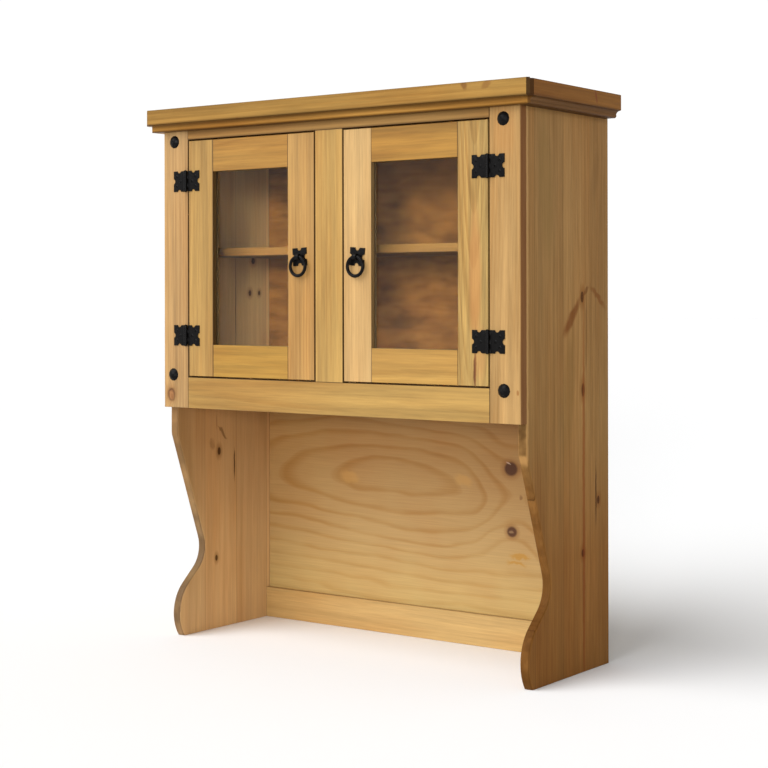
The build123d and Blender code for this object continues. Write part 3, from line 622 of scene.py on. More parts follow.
# %% Boards of the cornice
BOARDS |= {
    # the wax line at the foot of each cornice board is painted shade where it overhangs the moulding
    "cornice_board_front": ("X", "#846430", dict(
        seed=13.1, pith=(20, 45), gloss=0.1, clip=0.9,
        wax=[("Z", 1055.5, 4.5, 0.75), ("Z", 1087.5, 3.5, 0.4)],
        stains_and_highlights=("X", [
            (326, 1081, 9, 7, 20, "#5E3416", 0.6), (374, 1080, 13, 8, -30, "#6F4520", 0.5),
            (-208, 1050, 10, 8, 0, "#7E4019", 0.4),
        ]),
    )),
    "cornice_board_left": ("Y", "#98733F", dict(seed=14.2, clip=0.9)),
    "cornice_board_right": ("Y", "#764C18", dict(
        seed=15.7, gloss=0.08, clip=0.9,
        wax=[("Z", 1055.0, 3.5, 0.6), ("Z", 1085.5, 3, 0.3), ("Y", 170.0, 5, 0.6)],
        stains_and_highlights=("Y", [(62, 1071, 4, 16, 14, "#6A2F14", 0.7)]),
    )),
    # the moulding's darkened tone and its wax lines are painted shade under the board, in the cove and along
    # its underside
    "cornice_moulding_front": ("X", "#8D662F", dict(
        seed=16.2, gloss=0.05, wax=[("Z", 1055.0, 8, 0.7), ("Z", 1041.0, 4, 0.75)],
    )),
    "cornice_moulding_left": ("Y", "#98733F", dict(seed=17.4)),
    # its darker tone and its lines at the cove and underside are painted shade under the board
    "cornice_moulding_right": ("Y", "#5C3D18", dict(
        seed=18.8, gloss=0.08, wax=[("Z", 1055.0, 5, 0.3), ("Z", 1041.0, 3, 0.7), ("Y", 170.0, 5, 0.6)],
    )),
}
print("with the cornice:", len(BOARDS))

# %% Boards of the doors
DOOR_JOINT = 97.75

BOARDS |= {
    # wax lines at the gaps round the doors and beside the panes, and the hinge stile's darker sides, are
    # painted shade
    "left_door_hinge_stile": ("Z", "#90703C", dict(
        seed=19.3, pith=(-70, 40), edge=(RIGHT, 0.5, 0.95, 0.6),
        wax=[("X", -362.8, 1.2, 0.4), ("X", -297.3, 1.2, 0.75)],
    )),
    "left_door_lock_stile": ("Z", "#987440", dict(seed=20.4, pith=(80, 20), wax=[("X", -36.0, 1.2, 0.7)])),
    "right_door_lock_stile": ("Z", "#A48454", dict(
        seed=21.5, pith=(110, 30), contrast=0.32, bands=0.12,
        wax=[("X", 36.0, 1.2, 0.7), ("X", 101.5, 1.2, 0.6)],
    )),
    "right_door_hinge_stile": ("Z", "#907440", dict(
        seed=22.9, pith=(2, 26), tilt=(0.055, 0.0), ring=6.0, contrast=1.0, fibre=0.26,
        wax=[("X", 362.8, 1.2, 0.6)],
        stains_and_highlights=("X", [
            (334, 740, 16, 150, 0, "#A9703C", 0.5), (345, 600, 14, 60, 0, "#B07A45", 0.35),
            (333.6, 572, 4, 40, 0, "#6A3A14", 0.85), (332.6, 566, 2, 30, 0, "#4A2408", 0.6),
        ]),
    )),
    "left_door_top_rail": ("X", "#8C662C", dict(
        seed=23.4, pith=(0, 50), tilt=(0.03, 0), joint=DOOR_JOINT, wax=[("Z", 1020.4, 1.2, 0.6)],
    )),
    "left_door_bottom_rail": ("X", "#906C2C", dict(seed=24.6, pith=(10, 60), joint=DOOR_JOINT)),
    "right_door_top_rail": ("X", "#8A6428", dict(
        seed=25.1, pith=(0, 45), tilt=(-0.03, 0), joint=DOOR_JOINT, wax=[("Z", 1020.4, 1.2, 0.6)],
    )),
    "right_door_bottom_rail": ("X", "#9A783C", dict(seed=26.3, pith=(10, 60), joint=DOOR_JOINT)),
    "left_door_beads": ("Z", "#5C4730", dict(seed=27.0)),
    "right_door_beads": ("Z", "#6A5540", dict(seed=28.0)),
}


def dress(node, material):
    """Gives a carried-over solid its finish."""
    nodes[node].data.materials.clear()
    nodes[node].data.materials.append(material)


for node, (grain, tone, look) in BOARDS.items():
    dress(node, pine(node, grain, tone, **look))
print("pine boards:", len(BOARDS))

# %% [markdown]
# ## Rotary-cut plywood
# The back is peeled from a turning log, so its rings open out into large ovals and long lazy waves. Rings
# round a pith would be far too regular for that. One stretched ellipse distance, pushed about by noise and
# by two knots, gives such contours.

# %% Plywood contours
PLY_KNOTS = [(213.6, 359.1, 16.5), (215.7, 233.9, 12.5)]  # across, height and radius in mm
OVAL = {"Location": (-0.07, 0.313, 0), "Rotation": (0, 0, -0.05), "Scale": (0.157, 0.034, 1.0)}


def contours(tree, flat):
    """How much late wood, and how far each knot is. They crowd outwards and grow fainter."""
    noise = grain_noise(tree, flat, (2.6, 5.5, 1.0), (3.1, 0.4, 0), detail=3.0, roughness=0.45)
    field = away_from(tree, shoved(tree, flat, noise, (0.12, 0.095, 0)), OVAL)
    knots = []
    for across, z, radius in PLY_KNOTS:
        spot = {"Location": (across * MM, z * MM, 0), "Scale": (radius * MM, radius * 0.9 * MM, 1.0)}
        knots.append(away_from(tree, flat, spot))
        field = bent_round(tree, field, knots[-1], 0.5, 9.0, 1.1)
    crowded = add(tree, "ShaderNodeMath", [field, 1.2], operation="POWER")
    turns = add(tree, "ShaderNodeMath", [crowded, 0.84], operation="MULTIPLY")
    ring = ring_tone(tree, turns, ((0.5, 0.1), (0.84, 1.0), (0.92, 0.6)))
    calm = add(tree, "ShaderNodeMapRange", [field, 2.5, 7.5, 1.0, 0.45])
    return add(tree, "ShaderNodeMath", [ring, calm], operation="MULTIPLY"), knots


print("plywood knots:", len(PLY_KNOTS))

# %% Plywood marks
BACK_SHADE_TONES = [
    # painted shade: the open bay darkens towards the cupboard floor above it, and the part behind the doors
    # is darker, as painted shade inside the cupboard, and redder
    (60, 1.0, 1.0, 0.98), (200, 0.88, 0.82, 0.86), (380, 0.77, 0.63, 0.57), (529, 0.69, 0.55, 0.49),
    (531, 0.76, 0.44, 0.26), (760, 0.73, 0.42, 0.23), (1040, 0.79, 0.48, 0.28),
]
BACK_STAINS = [
    # resin below the knots, a chip in the upper knot, and a bruise between them
    (234, 186, 28, 7, 0, "#A87410", 0.6), (226, 172, 26, 6, 4, "#A87410", 0.55),
    (208, 370, 7, 2.6, 20, "#B89A80", 0.75), (237, 305, 4, 5, 30, "#6E4526", 0.6),
    # amber patches by the contours, paler warmer patches behind the doors, and the pale heart of the lower
    # knot
    (-190, 318, 30, 16, 10, "#B98A48", 0.5), (100, 330, 26, 12, 15, "#B98A48", 0.5),
    (170, 930, 240, 130, 0, "#C8803C", 0.35), (170, 660, 200, 90, 0, "#B8743C", 0.1),
    (214, 233, 7, 5, 0, "#8A6A48", 0.75),
]


def shade_and_smudge(tree, colour, flat, z):
    """The front of the back: painted shade in the bay and the cupboard, and smudged behind the doors."""
    colour = toned(tree, colour, BACK_SHADE_TONES)
    cloud = grain_noise(tree, flat, (13, 30, 1), detail=5.0, roughness=0.6)
    smudge = add(tree, "ShaderNodeMapRange", [cloud, 0.35, 0.65, 0.6, 1.3])
    dim = add(tree, "ShaderNodeVectorMath", {0: colour, "Scale": smudge}, operation="SCALE")
    colour = laid_over(tree, colour, dim, z, 0.525, 0.535, 0.0, 1.0)
    return stained_and_lit(tree, colour, "X", BACK_STAINS)


print("marks on the back:", len(BACK_STAINS))


# %% Plywood
def plywood(tone):
    """Sanded and lightly waxed veneer of a mean tone, which the eye reads as matt with fine long fibres."""
    mean = linear(tone)
    material, tree = new_material("rotary_cut_pine_plywood")
    parts = add(tree, "ShaderNodeSeparateXYZ", [add(tree, "ShaderNodeTexCoord").outputs["Object"]]).outputs
    flat = add(tree, "ShaderNodeCombineXYZ", [parts["X"], parts["Z"]])
    ring, knots = contours(tree, flat)
    slow = add(tree, "ShaderNodeTexNoise", {"Vector": flat, "Scale": 7.0, "Detail": 2.0})
    fade = add(tree, "ShaderNodeMapRange", [slow, 0.38, 0.62, 0.4, 1.0])
    amount = add(tree, "ShaderNodeMath", [ring, fade], operation="MULTIPLY")
    early, late = scaled(mean, 1.06, 1.08, 1.10), scaled(mean, 0.82, 0.68, 0.44)
    colour = laid_over(tree, early, late, amount, 0.0, 1.0, 0.0, 1.0)
    colour = laid_over(tree, colour, scaled(mean, 1.0, 0.88, 0.82), slow, 0.4, 0.7, 0.0, 0.45)
    fibres = grain_noise(tree, flat, (9, 420, 1), detail=3.0)
    shade = add(tree, "ShaderNodeMapRange", [fibres, 0.25, 0.75, 0.9, 1.08])
    colour = add(tree, "ShaderNodeVectorMath", {0: colour, "Scale": shade}, operation="SCALE")
    for distance in knots:
        colour = laid_over(tree, colour, linear("#7E4C1E"), distance, 0.9, 1.7, 0.5, 0.0)
        colour = laid_over(tree, colour, linear("#53331A"), distance, 0.75, 1.05, 0.95, 0.0)
    colour = inward(tree, colour, shade_and_smudge(tree, colour, flat, parts["Z"]), (0, 1, 0))
    bump = add(tree, "ShaderNodeBump", {"Height": fibres, "Strength": 0.3, "Distance": 0.1 * MM})
    sanded = {"Base Color": colour, "Roughness": 0.52, "IOR": 1.5, "Specular IOR Level": 0.25, "Normal": bump}
    add(tree, "ShaderNodeOutputMaterial", [add(tree, "ShaderNodeBsdfPrincipled", sanded)])
    return material


dress("back_panel", plywood("#B1935B"))
print("back panel in", nodes["back_panel"].data.materials[0].name)

# %% [markdown]
# ## Glass, iron and zinc
# The panes are clear float glass, thin enough to let the lamps shine straight through on to what stands
# behind. The iron is cast, tumbled and painted matt black, so its skin is full of shallow dents that catch
# small lights. The hidden screws, the catch and the back nails are zinc-plated steel, whose bright skin is
# clouded by the plating bath. Real grit on the iron is too fine to show, so it is drawn about 1 mm wide.


# %% Glass
# Float glass is clear and flat, so the eye gets a few faint glints and no tint. Its IOR is 1.52, and the
# lower one here keeps the white studio from veiling what is behind the panes.
material, tree = new_material("clear_float_glass")
pane = {"Base Color": linear("#F6FBF8"), "Roughness": 0.0, "IOR": 1.22, "Transmission Weight": 1.0}
body = add(tree, "ShaderNodeBsdfPrincipled", pane)
lamp_ray = add(tree, "ShaderNodeLightPath").outputs["Is Shadow Ray"]
open_way = add(tree, "ShaderNodeBsdfTransparent", {"Color": linear("#F4F8F5")})
add(tree, "ShaderNodeOutputMaterial", [add(tree, "ShaderNodeMixShader", [lamp_ray, body, open_way])])
for side in ("left", "right"):
    dress(side + "_door_glass", material)
print("panes in", material.name)


# %% Black iron
def black_iron(dent_mm):
    """Painted cast iron with dents of about that size."""
    material, tree = new_material("black_painted_cast_iron")
    place = add(tree, "ShaderNodeTexCoord").outputs["Object"]
    cells = {"Vector": place, "Scale": 1 / (dent_mm * MM)}
    dents = add(tree, "ShaderNodeTexVoronoi", cells, feature="SMOOTH_F1")
    grit = add(tree, "ShaderNodeTexNoise", {"Vector": place, "Scale": 900.0, "Detail": 2.0})
    bumpy = add(tree, "ShaderNodeBump", {"Height": dents, "Strength": 0.55, "Distance": 0.35 * MM})
    bump = {"Height": grit, "Strength": 0.3, "Distance": 0.05 * MM, "Normal": bumpy}
    painted = {
        "Base Color": laid_over(tree, linear("#0B0909"), linear("#030303"), dents, 0.0, 1.0, 0.0, 1.0),
        "Roughness": add(tree, "ShaderNodeMapRange", [grit, 0.0, 1.0, 0.28, 0.44]),
        "IOR": 1.5, "Specular IOR Level": 0.1, "Normal": add(tree, "ShaderNodeBump", bump),
    }
    add(tree, "ShaderNodeOutputMaterial", [add(tree, "ShaderNodeBsdfPrincipled", painted)])
    return material


iron = black_iron(3.0)
print("iron in", iron.name)

# %% Zinc-plated steel
zinc_steel, tree = new_material("zinc_plated_steel")
place = add(tree, "ShaderNodeTexCoord").outputs["Object"]
cloud = add(tree, "ShaderNodeTexNoise", {"Vector": place, "Scale": 400.0})
rough = add(tree, "ShaderNodeMapRange", [cloud, 0.0, 1.0, 0.28, 0.5])
zinc = {"Base Color": linear("#B9BABC"), "Metallic": 1.0, "Roughness": rough}
add(tree, "ShaderNodeOutputMaterial", [add(tree, "ShaderNodeBsdfPrincipled", zinc)])
STEEL_NODES = ["catch_magnets"]
STEEL_NODES += [side + end for side in ("left", "right") for end in ("_door_strike_disc", "_pull_bolt")]
for node in STEEL_NODES:
    dress(node, zinc_steel)
print("zinc on", len(STEEL_NODES), "solids")

# %% [markdown]
# ## Making plain pieces
# The hardware is drawn again with the roundings that a casting has. Bevelling the solids would do for one
# edge, but they are loose triangles. So each piece is a new mesh that already stands where it belongs: its
# object stays at the origin and rides on one moving body.

# %% Piece helpers
FINISHES = {"black_iron": iron, "steel": zinc_steel}


def place_piece(name, mesh, body, slot, node):
    """Puts a finished mesh in the scene, on its body, in place of a plain solid."""
    obj = bpy.data.objects.new(name, mesh)
    bpy.context.scene.collection.objects.link(obj)
    mesh.materials.clear()
    mesh.materials.append(FINISHES[slot])
    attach(obj, body)
    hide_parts(node)
    print(name, len(mesh.polygons), "faces on", body)


def mesh_from(name, build, angle=35):
    """A mesh from a function that fills a bmesh. Edges are sharp past the angle in degrees."""
    bm = bmesh.new()
    build(bm)
    bmesh.ops.remove_doubles(bm, verts=bm.verts, dist=1e-7)
    bmesh.ops.recalc_face_normals(bm, faces=bm.faces)
    mesh = bpy.data.meshes.new(name)
    bm.to_mesh(mesh)
    bm.free()
    mesh.validate()  # drops the doubled edges that a boolean leaves
    mesh.shade_smooth()
    mesh.set_sharp_from_angle(angle=math.radians(angle))
    return mesh


print("slots with a finish:", list(FINISHES))


# %% Arcs, walls and slabs
def arc(centre, radius, start, end, steps):
    """Points on an arc from one angle to another, in degrees."""
    turns = [math.radians(start + (end - start) * i / steps) for i in range(steps + 1)]
    return [(centre[0] + radius * math.cos(t), centre[1] + radius * math.sin(t)) for t in turns]


def loop_of(bm, points):
    """Vertices at points in mm."""
    return [bm.verts.new(Vector(point) * MM) for point in points]


def wall(bm, first, second):
    """Faces between two closed loops of as many vertices."""
    for i in range(len(first)):
        j = (i + 1) % len(first)
        bm.faces.new((first[i], first[j], second[j], second[i]))


def rim(bm, loop):
    """The edges of a closed loop."""
    return [bm.edges.get(pair) for pair in zip(loop, loop[1:] + loop[:1])]


def round_over(bm, edges, offset, steps, **limits):
    """Rounds edges over by an offset in mm."""
    bmesh.ops.bevel(bm, geom=edges, offset=offset * MM, segments=steps, profile=0.5, affect="EDGES", **limits)


def slab(bm, outline, to_place):
    """A plate from an outline in mm, with its front edges rounded. to_place makes a point of (u, v, out)."""
    back, front = (loop_of(bm, [to_place(u, v, out) for u, v in outline]) for out in (0.0, LEAF_THICK))
    bm.faces.new(back)
    bm.faces.new(front)
    wall(bm, back, front)
    round_over(bm, rim(bm, front), LEAF_ROUND, 3, clamp_overlap=True)


LEAF_THICK, LEAF_ROUND = 1.8, 0.6
print("iron plates are", LEAF_THICK, "mm thick")

# %% [markdown]
# ## Butterfly hinges
# Each leaf is a cast plate with four ears and half-round bites between them. Its knuckles are rolled out of
# the plate, three on the frame and two on the door, and a pin with domed ends goes through all five. Cutting
# the bites with booleans would leave ragged edges to round. Here a plate outline is pushed out and its front
# edge rounded over, then each knuckle is added as one closed profile that runs from the plate through a
# small fillet and round the pin.

# %% Hinge sizes
FACE = -147.0
HINGE_X = {"left": -367.675, "right": 362.725}
HINGE_ZS = {"left": (624.05, 938.95), "right": (621.85, 936.75)}
LEAF_LONG, LEAF_HIGH = 34.8, 42.0
SIDE_BITE_R, END_BITE_R, BITE_SHY, SIDE_BITE_U = 5.3, 5.6, 0.5, 19.3
BARREL_OUT, BARREL_R, PITCH, GAP, NOTCH = 4.2, 3.8, 8.4, 0.3, 3.9
KNUCKLE_ROUND, FILLET_R = 0.35, 2.0
print("an open hinge is", 2 * LEAF_LONG, "mm wide")


# %% Leaf and knuckle outlines
def leaf_outline(own):
    """Outline of a leaf with its axis at u = 0, notched for the knuckles of the other leaf."""
    half = LEAF_HIGH / 2
    ear = math.degrees(math.asin(BITE_SHY / SIDE_BITE_R))
    side = math.degrees(math.asin(BITE_SHY / END_BITE_R))
    points = [(0.0 if 0 in own else NOTCH, -half)]
    points += arc((SIDE_BITE_U, -half - BITE_SHY), SIDE_BITE_R, 180 - ear, ear, 12) + [(LEAF_LONG, -half)]
    points += arc((LEAF_LONG + BITE_SHY, 0.0), END_BITE_R, 270 - side, 90 + side, 12) + [(LEAF_LONG, half)]
    points += arc((SIDE_BITE_U, half + BITE_SHY), SIDE_BITE_R, -ear, ear - 180, 12)
    for index in range(4, -1, -1):
        inner = 0.0 if index in own else NOTCH
        top, bottom = -half + (index + 1) * PITCH, -half + index * PITCH
        shy = GAP / 2 if index in own else -GAP / 2
        top_z = half if index == 4 else top - shy
        bottom_z = -half if index == 0 else bottom + shy
        points += [(inner, top_z), (inner, bottom_z)]
    return points[:-1]


def knuckle_outline():
    """Section of a rolled knuckle in (u, out), from the plate round the pin."""
    reach = math.sqrt((BARREL_R + FILLET_R) ** 2 - (BARREL_OUT - LEAF_THICK - FILLET_R) ** 2)
    lean = math.degrees(math.atan2(LEAF_THICK + FILLET_R - BARREL_OUT, reach))
    points = [(reach, 0.05)] + arc((reach, LEAF_THICK + FILLET_R), FILLET_R, -90, -180 + lean, 6)
    return points + arc((0.0, BARREL_OUT), BARREL_R, lean + 4, 268, 34)


print("points round a frame leaf:", len(leaf_outline((0, 2, 4))))

# %% Leaves of one body
FRAME_KNUCKLES, DOOR_KNUCKLES = (0, 2, 4), (1, 3)


def hinge_leaves(bm, door, side, own):
    """Both leaves of one side of one door. They reach from its axis to that side, -1 or 1."""
    axis_x = HINGE_X[door]
    for hinge_z in HINGE_ZS[door]:
        slab(bm, leaf_outline(own), lambda u, v, out: (axis_x + side * u, FACE - out, hinge_z + v))
        for index in own:
            low = hinge_z - LEAF_HIGH / 2 + index * PITCH + GAP / 2
            ring = [
                loop_of(bm, [(axis_x + side * u, FACE - out, z) for u, out in knuckle_outline()])
                for z in (low, low + PITCH - GAP)
            ]
            caps = [bm.faces.new(points) for points in ring]
            wall(bm, *ring)
            round_over(bm, [edge for cap in caps for edge in cap.edges], KNUCKLE_ROUND, 2)


def frame_leaves(bm):
    """The leaves that stay on the stiles, outside both doors."""
    hinge_leaves(bm, "left", -1, FRAME_KNUCKLES)
    hinge_leaves(bm, "right", 1, FRAME_KNUCKLES)


mesh = mesh_from("hinge_leaves_frame", frame_leaves)
place_piece("hinge_leaves_frame", mesh, "carcass", "black_iron", "frame_hinge_leaves")
for side, sign in (("left", 1), ("right", -1)):
    mesh = mesh_from("hinge_leaves_" + side, lambda bm: hinge_leaves(bm, side, sign, DOOR_KNUCKLES))
    place_piece("hinge_leaves_" + side, mesh, side + "_door", "black_iron", side + "_door_hinge_leaves")

# %% Hinge pins
PIN_R, PIN_HEAD_R, PIN_HEAD_HIGH = 1.7, 2.9, 1.4


def pin(bm, x, z):
    """A pin with a domed head at each end, turned from a half profile."""
    half = LEAF_HIGH / 2
    ball = (PIN_HEAD_R**2 + PIN_HEAD_HIGH**2) / (2 * PIN_HEAD_HIGH)
    tip = math.degrees(math.asin(PIN_HEAD_R / ball))
    dome = arc((0.0, half + PIN_HEAD_HIGH - ball), ball, 90 - tip, 90, 7)
    profile = [(PIN_R, 0.0), (PIN_R, half), (PIN_HEAD_R - 0.2, half), *dome]
    centre = Vector((x, FACE - BARREL_OUT, z)) * MM
    for flip in (1, -1):
        points = loop_of(bm, [(x + r, FACE - BARREL_OUT, z + flip * h) for r, h in profile])
        geom = points + [bm.edges.new(pair) for pair in zip(points, points[1:])]
        bmesh.ops.spin(bm, geom=geom, cent=centre, axis=(0, 0, 1), angle=math.tau, steps=24, use_merge=True)


def all_pins(bm):
    """The pins of all four hinges."""
    for side, x in HINGE_X.items():
        for z in HINGE_ZS[side]:
            pin(bm, x, z)


mesh = mesh_from("hinge_pins_domed", all_pins)
place_piece("hinge_pins_domed", mesh, "carcass", "black_iron", "hinge_pins")

# %% [markdown]
# ## Ring pulls
# A four-eared plate with a drilled eye in the middle carries a loose ring. The plates were put on by eye, so
# neither is quite square. The eye could be a torus, but a cast one is a short tube that lies across the
# plate on a foot. So it is built from four loops, and the ring hangs in it.

# %% Pull sizes
PULL_AT = {"left": (-70.75, 780.2), "right": (68.75, 778.4)}
PULL_WIDE, PULL_BITE, BITE_DEEP = 34.7, 5.3, 6.0
PULL_TILT = {"left": -3.0, "right": 4.5}
EYE_OUT, EYE_R, EYE_BORE, EYE_WIDE, EYE_ROUND, EYE_STEPS = 7.5, 5.9, 3.8, 9.0, 0.6, 40
FOOT = [(-6.2, 1.6), (6.2, 1.6), (4.4, 3.4), (3.6, 5.2), (-3.6, 5.2), (-4.4, 3.4)]  # (u, out)
FOOT_HALF_HIGH = 3.5
RING_R, WIRE_R = 18.3, 3.2
print("pull plates are", PULL_WIDE, "mm wide")


# %% Plates with eyes
def plate_outline(tilt):
    """Square with a half-round bite out of each side, turned clockwise by the tilt in degrees."""
    half = PULL_WIDE / 2
    centre = half + PULL_BITE - BITE_DEEP
    reach = math.degrees(math.acos(max(-1.0, (half - centre) / PULL_BITE)))
    quarter = [(half, -half)] + arc((centre, 0.0), PULL_BITE, 360 - reach, reach, 12)
    points = []
    for turn in range(4):
        angle = math.radians(90 * turn - tilt)
        cos, sin = math.cos(angle), math.sin(angle)
        points += [(u * cos - v * sin, u * sin + v * cos) for u, v in quarter]
    return points


def pull(bm, x, z, tilt):
    """A plate, the tube of its eye, and the foot between them."""
    slab(bm, plate_outline(tilt), lambda u, v, out: (x + u, FACE - out, z + v))
    rings = []
    for radius in (EYE_R, EYE_BORE):
        for u in (-EYE_WIDE / 2, EYE_WIDE / 2):
            circle = arc((0.0, 0.0), radius, 0, 360, EYE_STEPS)[:-1]
            rings.append(loop_of(bm, [(x + u, FACE - EYE_OUT + c, z + d) for c, d in circle]))
    outer_a, outer_b, inner_a, inner_b = rings
    for pair in ((outer_a, outer_b), (inner_b, inner_a), (inner_a, outer_a), (outer_b, inner_b)):
        wall(bm, *pair)
    round_over(bm, [edge for ring in rings for edge in rim(bm, ring)], EYE_ROUND, 3)
    heights = (z - FOOT_HALF_HIGH, z + FOOT_HALF_HIGH)
    ends = [loop_of(bm, [(x + u, FACE - out, height) for u, out in FOOT]) for height in heights]
    for end in ends:
        bm.faces.new(end)
    wall(bm, *ends)


for side, spot in PULL_AT.items():
    mesh = mesh_from("pull_" + side, lambda bm: pull(bm, *spot, PULL_TILT[side]))
    place_piece("pull_" + side, mesh, side + "_door", "black_iron", side + "_pull_plate")

# %% [markdown]
# ## The rings
# A ring follows a rule, a round wire bent into a circle, and a cast one is a little thicker where it hangs
# lowest. A torus can't swell like that. Geometry Nodes sweep a small circle along a large one, with a radius
# that grows towards the bottom, so the sizes stay open to change until the result is made a plain mesh.


# %% Node tree helpers
def open_tree(name, **inputs):
    """A geometry tree with named inputs. A value's type sets the socket's type."""
    tree = bpy.data.node_groups.new(name, "GeometryNodeTree")
    kinds = {float: "NodeSocketFloat", int: "NodeSocketInt", bpy.types.Material: "NodeSocketMaterial"}
    tree.interface.new_socket("Geometry", in_out="INPUT", socket_type="NodeSocketGeometry")
    for label, value in inputs.items():
        socket = tree.interface.new_socket(label, in_out="INPUT", socket_type=kinds[type(value)])
        socket.default_value = value
    tree.interface.new_socket("Geometry", in_out="OUTPUT", socket_type="NodeSocketGeometry")
    return tree, add(tree, "NodeGroupInput").outputs


def close_tree(tree, geometry, material):
    """Ends a tree with plain faces in one finish."""
    real = add(tree, "GeometryNodeRealizeInstances", [geometry])
    painted = add(tree, "GeometryNodeSetMaterial", {"Geometry": real, "Material": material})
    add(tree, "NodeGroupOutput", [painted])


def grown(name, start, tree, angle, **values):
    """Runs a tree on a mesh and returns the result as a plain mesh."""
    holder = bpy.data.objects.new(name, start)
    bpy.context.scene.collection.objects.link(holder)
    modifier = holder.modifiers.new("grow", "NODES")
    modifier.node_group = tree
    for item in tree.interface.items_tree:
        if item.in_out == "INPUT" and item.name in values:
            modifier[item.identifier] = values[item.name]
    result = bpy.data.meshes.new_from_object(holder.evaluated_get(bpy.context.evaluated_depsgraph_get()))
    holder.modifiers.clear()
    bpy.data.objects.remove(holder)
    return mesh_from(name, lambda bm: bm.from_mesh(result), angle)


print("trees end in plain faces")

# %% Rings
SWELL = 0.06  # the wire is that share thicker at the bottom, and thinner in the eye, than at the sides
AT_SIDES = 1.0 - SWELL

sizes = {"Ring_radius": RING_R * MM, "Wire_radius": WIRE_R * MM, "Swell": SWELL}
ring_tree, inputs = open_tree("pull_ring", **sizes, Finish=iron)
bend = {"Resolution": 96, "Radius": inputs["Ring_radius"]}
loop = add(ring_tree, "GeometryNodeCurvePrimitiveCircle", bend, mode="RADIUS")
height = add(ring_tree, "ShaderNodeSeparateXYZ", [add(ring_tree, "GeometryNodeInputPosition")]).outputs["Y"]
share = add(ring_tree, "ShaderNodeMath", [height, inputs["Ring_radius"]], operation="DIVIDE")
lower = add(ring_tree, "ShaderNodeMath", [share, -1.0], operation="MULTIPLY")
swell = add(ring_tree, "ShaderNodeMath", [lower, inputs["Swell"], AT_SIDES], operation="MULTIPLY_ADD")
loop = add(ring_tree, "GeometryNodeSetCurveRadius", {"Curve": loop, "Radius": swell})
section = {"Resolution": 20, "Radius": inputs["Wire_radius"]}
wire = add(ring_tree, "GeometryNodeCurvePrimitiveCircle", section, mode="RADIUS")
ring = add(ring_tree, "GeometryNodeCurveToMesh", {"Curve": loop, "Profile Curve": wire})
upright = add(ring_tree, "GeometryNodeTransform", {"Geometry": ring, "Rotation": (math.pi / 2, 0, 0)})
close_tree(ring_tree, upright, inputs["Finish"])

for side, (x, z) in PULL_AT.items():
    mesh = grown("ring_" + side, bpy.data.meshes.new("start"), ring_tree, 60)
    mesh.transform(Matrix.Translation(Vector((x, FACE - EYE_OUT, z - RING_R)) * MM))
    place_piece("ring_" + side, mesh, side + "_ring", "black_iron", side + "_pull_ring")

# %% [markdown]
# ## Nails and screws
# Three fasteners share one rule: a low dome on a round or many-sided rim. The four big nails were forged
# with twelve uneven flats. The hinge screws are smooth, with a cross recess. The back is held by small flat
# nails. Each could be modelled once and copied, but one tree draws a dome at every place it is given, and
# its inputs make it any of the three.


# %% Domed head
CROSS_LONG, CROSS_WIDE, CROSS_DEEP = 1.05, 0.24, 1.3  # arms of the recess, by the head's radius and height


def domed_head(tree, given):
    """A disc of rings, raised by a power of the distance from its middle. Also how high, from 0 to 1."""
    disc = add(tree, "GeometryNodeMeshCone", {
        "Vertices": given["Sides"], "Side Segments": given["Rings"], "Radius Top": 0.0,
        "Radius Bottom": given["Radius"], "Depth": given["Height"],
    }, fill_type="NGON")
    spot = add(tree, "ShaderNodeSeparateXYZ", [add(tree, "GeometryNodeInputPosition")]).outputs
    flat = add(tree, "ShaderNodeCombineXYZ", [spot["X"], spot["Y"]])
    reach = add(tree, "ShaderNodeVectorMath", [flat], operation="LENGTH")
    share = add(tree, "ShaderNodeMath", [reach, given["Radius"]], operation="DIVIDE")
    curve = add(tree, "ShaderNodeMath", [share, given["Fullness"]], operation="POWER")
    fall = add(tree, "ShaderNodeMath", [1.0, curve], operation="SUBTRACT", use_clamp=True)
    rise = add(tree, "ShaderNodeMath", [fall, given["Height"]], operation="MULTIPLY")
    domed = add(tree, "ShaderNodeCombineXYZ", [spot["X"], spot["Y"], rise])
    return add(tree, "GeometryNodeSetPosition", {"Geometry": disc, "Position": domed}), fall


def with_recess(tree, given, head):
    """The head with a cross cut into its top."""
    across = add(tree, "ShaderNodeMath", [given["Radius"], CROSS_LONG], operation="MULTIPLY")
    narrow = add(tree, "ShaderNodeMath", [given["Radius"], CROSS_WIDE], operation="MULTIPLY")
    deep = add(tree, "ShaderNodeMath", [given["Height"], CROSS_DEEP], operation="MULTIPLY")
    joined = add(tree, "GeometryNodeMeshBoolean", operation="UNION")
    for size in ([across, narrow, deep], [narrow, across, deep]):
        arm = add(tree, "GeometryNodeMeshCube", {"Size": add(tree, "ShaderNodeCombineXYZ", size)})
        tree.links.new(arm.outputs["Mesh"], joined.inputs["Mesh 2"])
    lift = add(tree, "ShaderNodeCombineXYZ", {"Z": given["Height"]})
    lifted = add(tree, "GeometryNodeTransform", {"Geometry": joined, "Translation": lift})
    return add(tree, "GeometryNodeMeshBoolean", {"Mesh 1": head, "Mesh 2": lifted}, operation="DIFFERENCE")


print("a recess is", CROSS_WIDE, "of the head's radius wide")


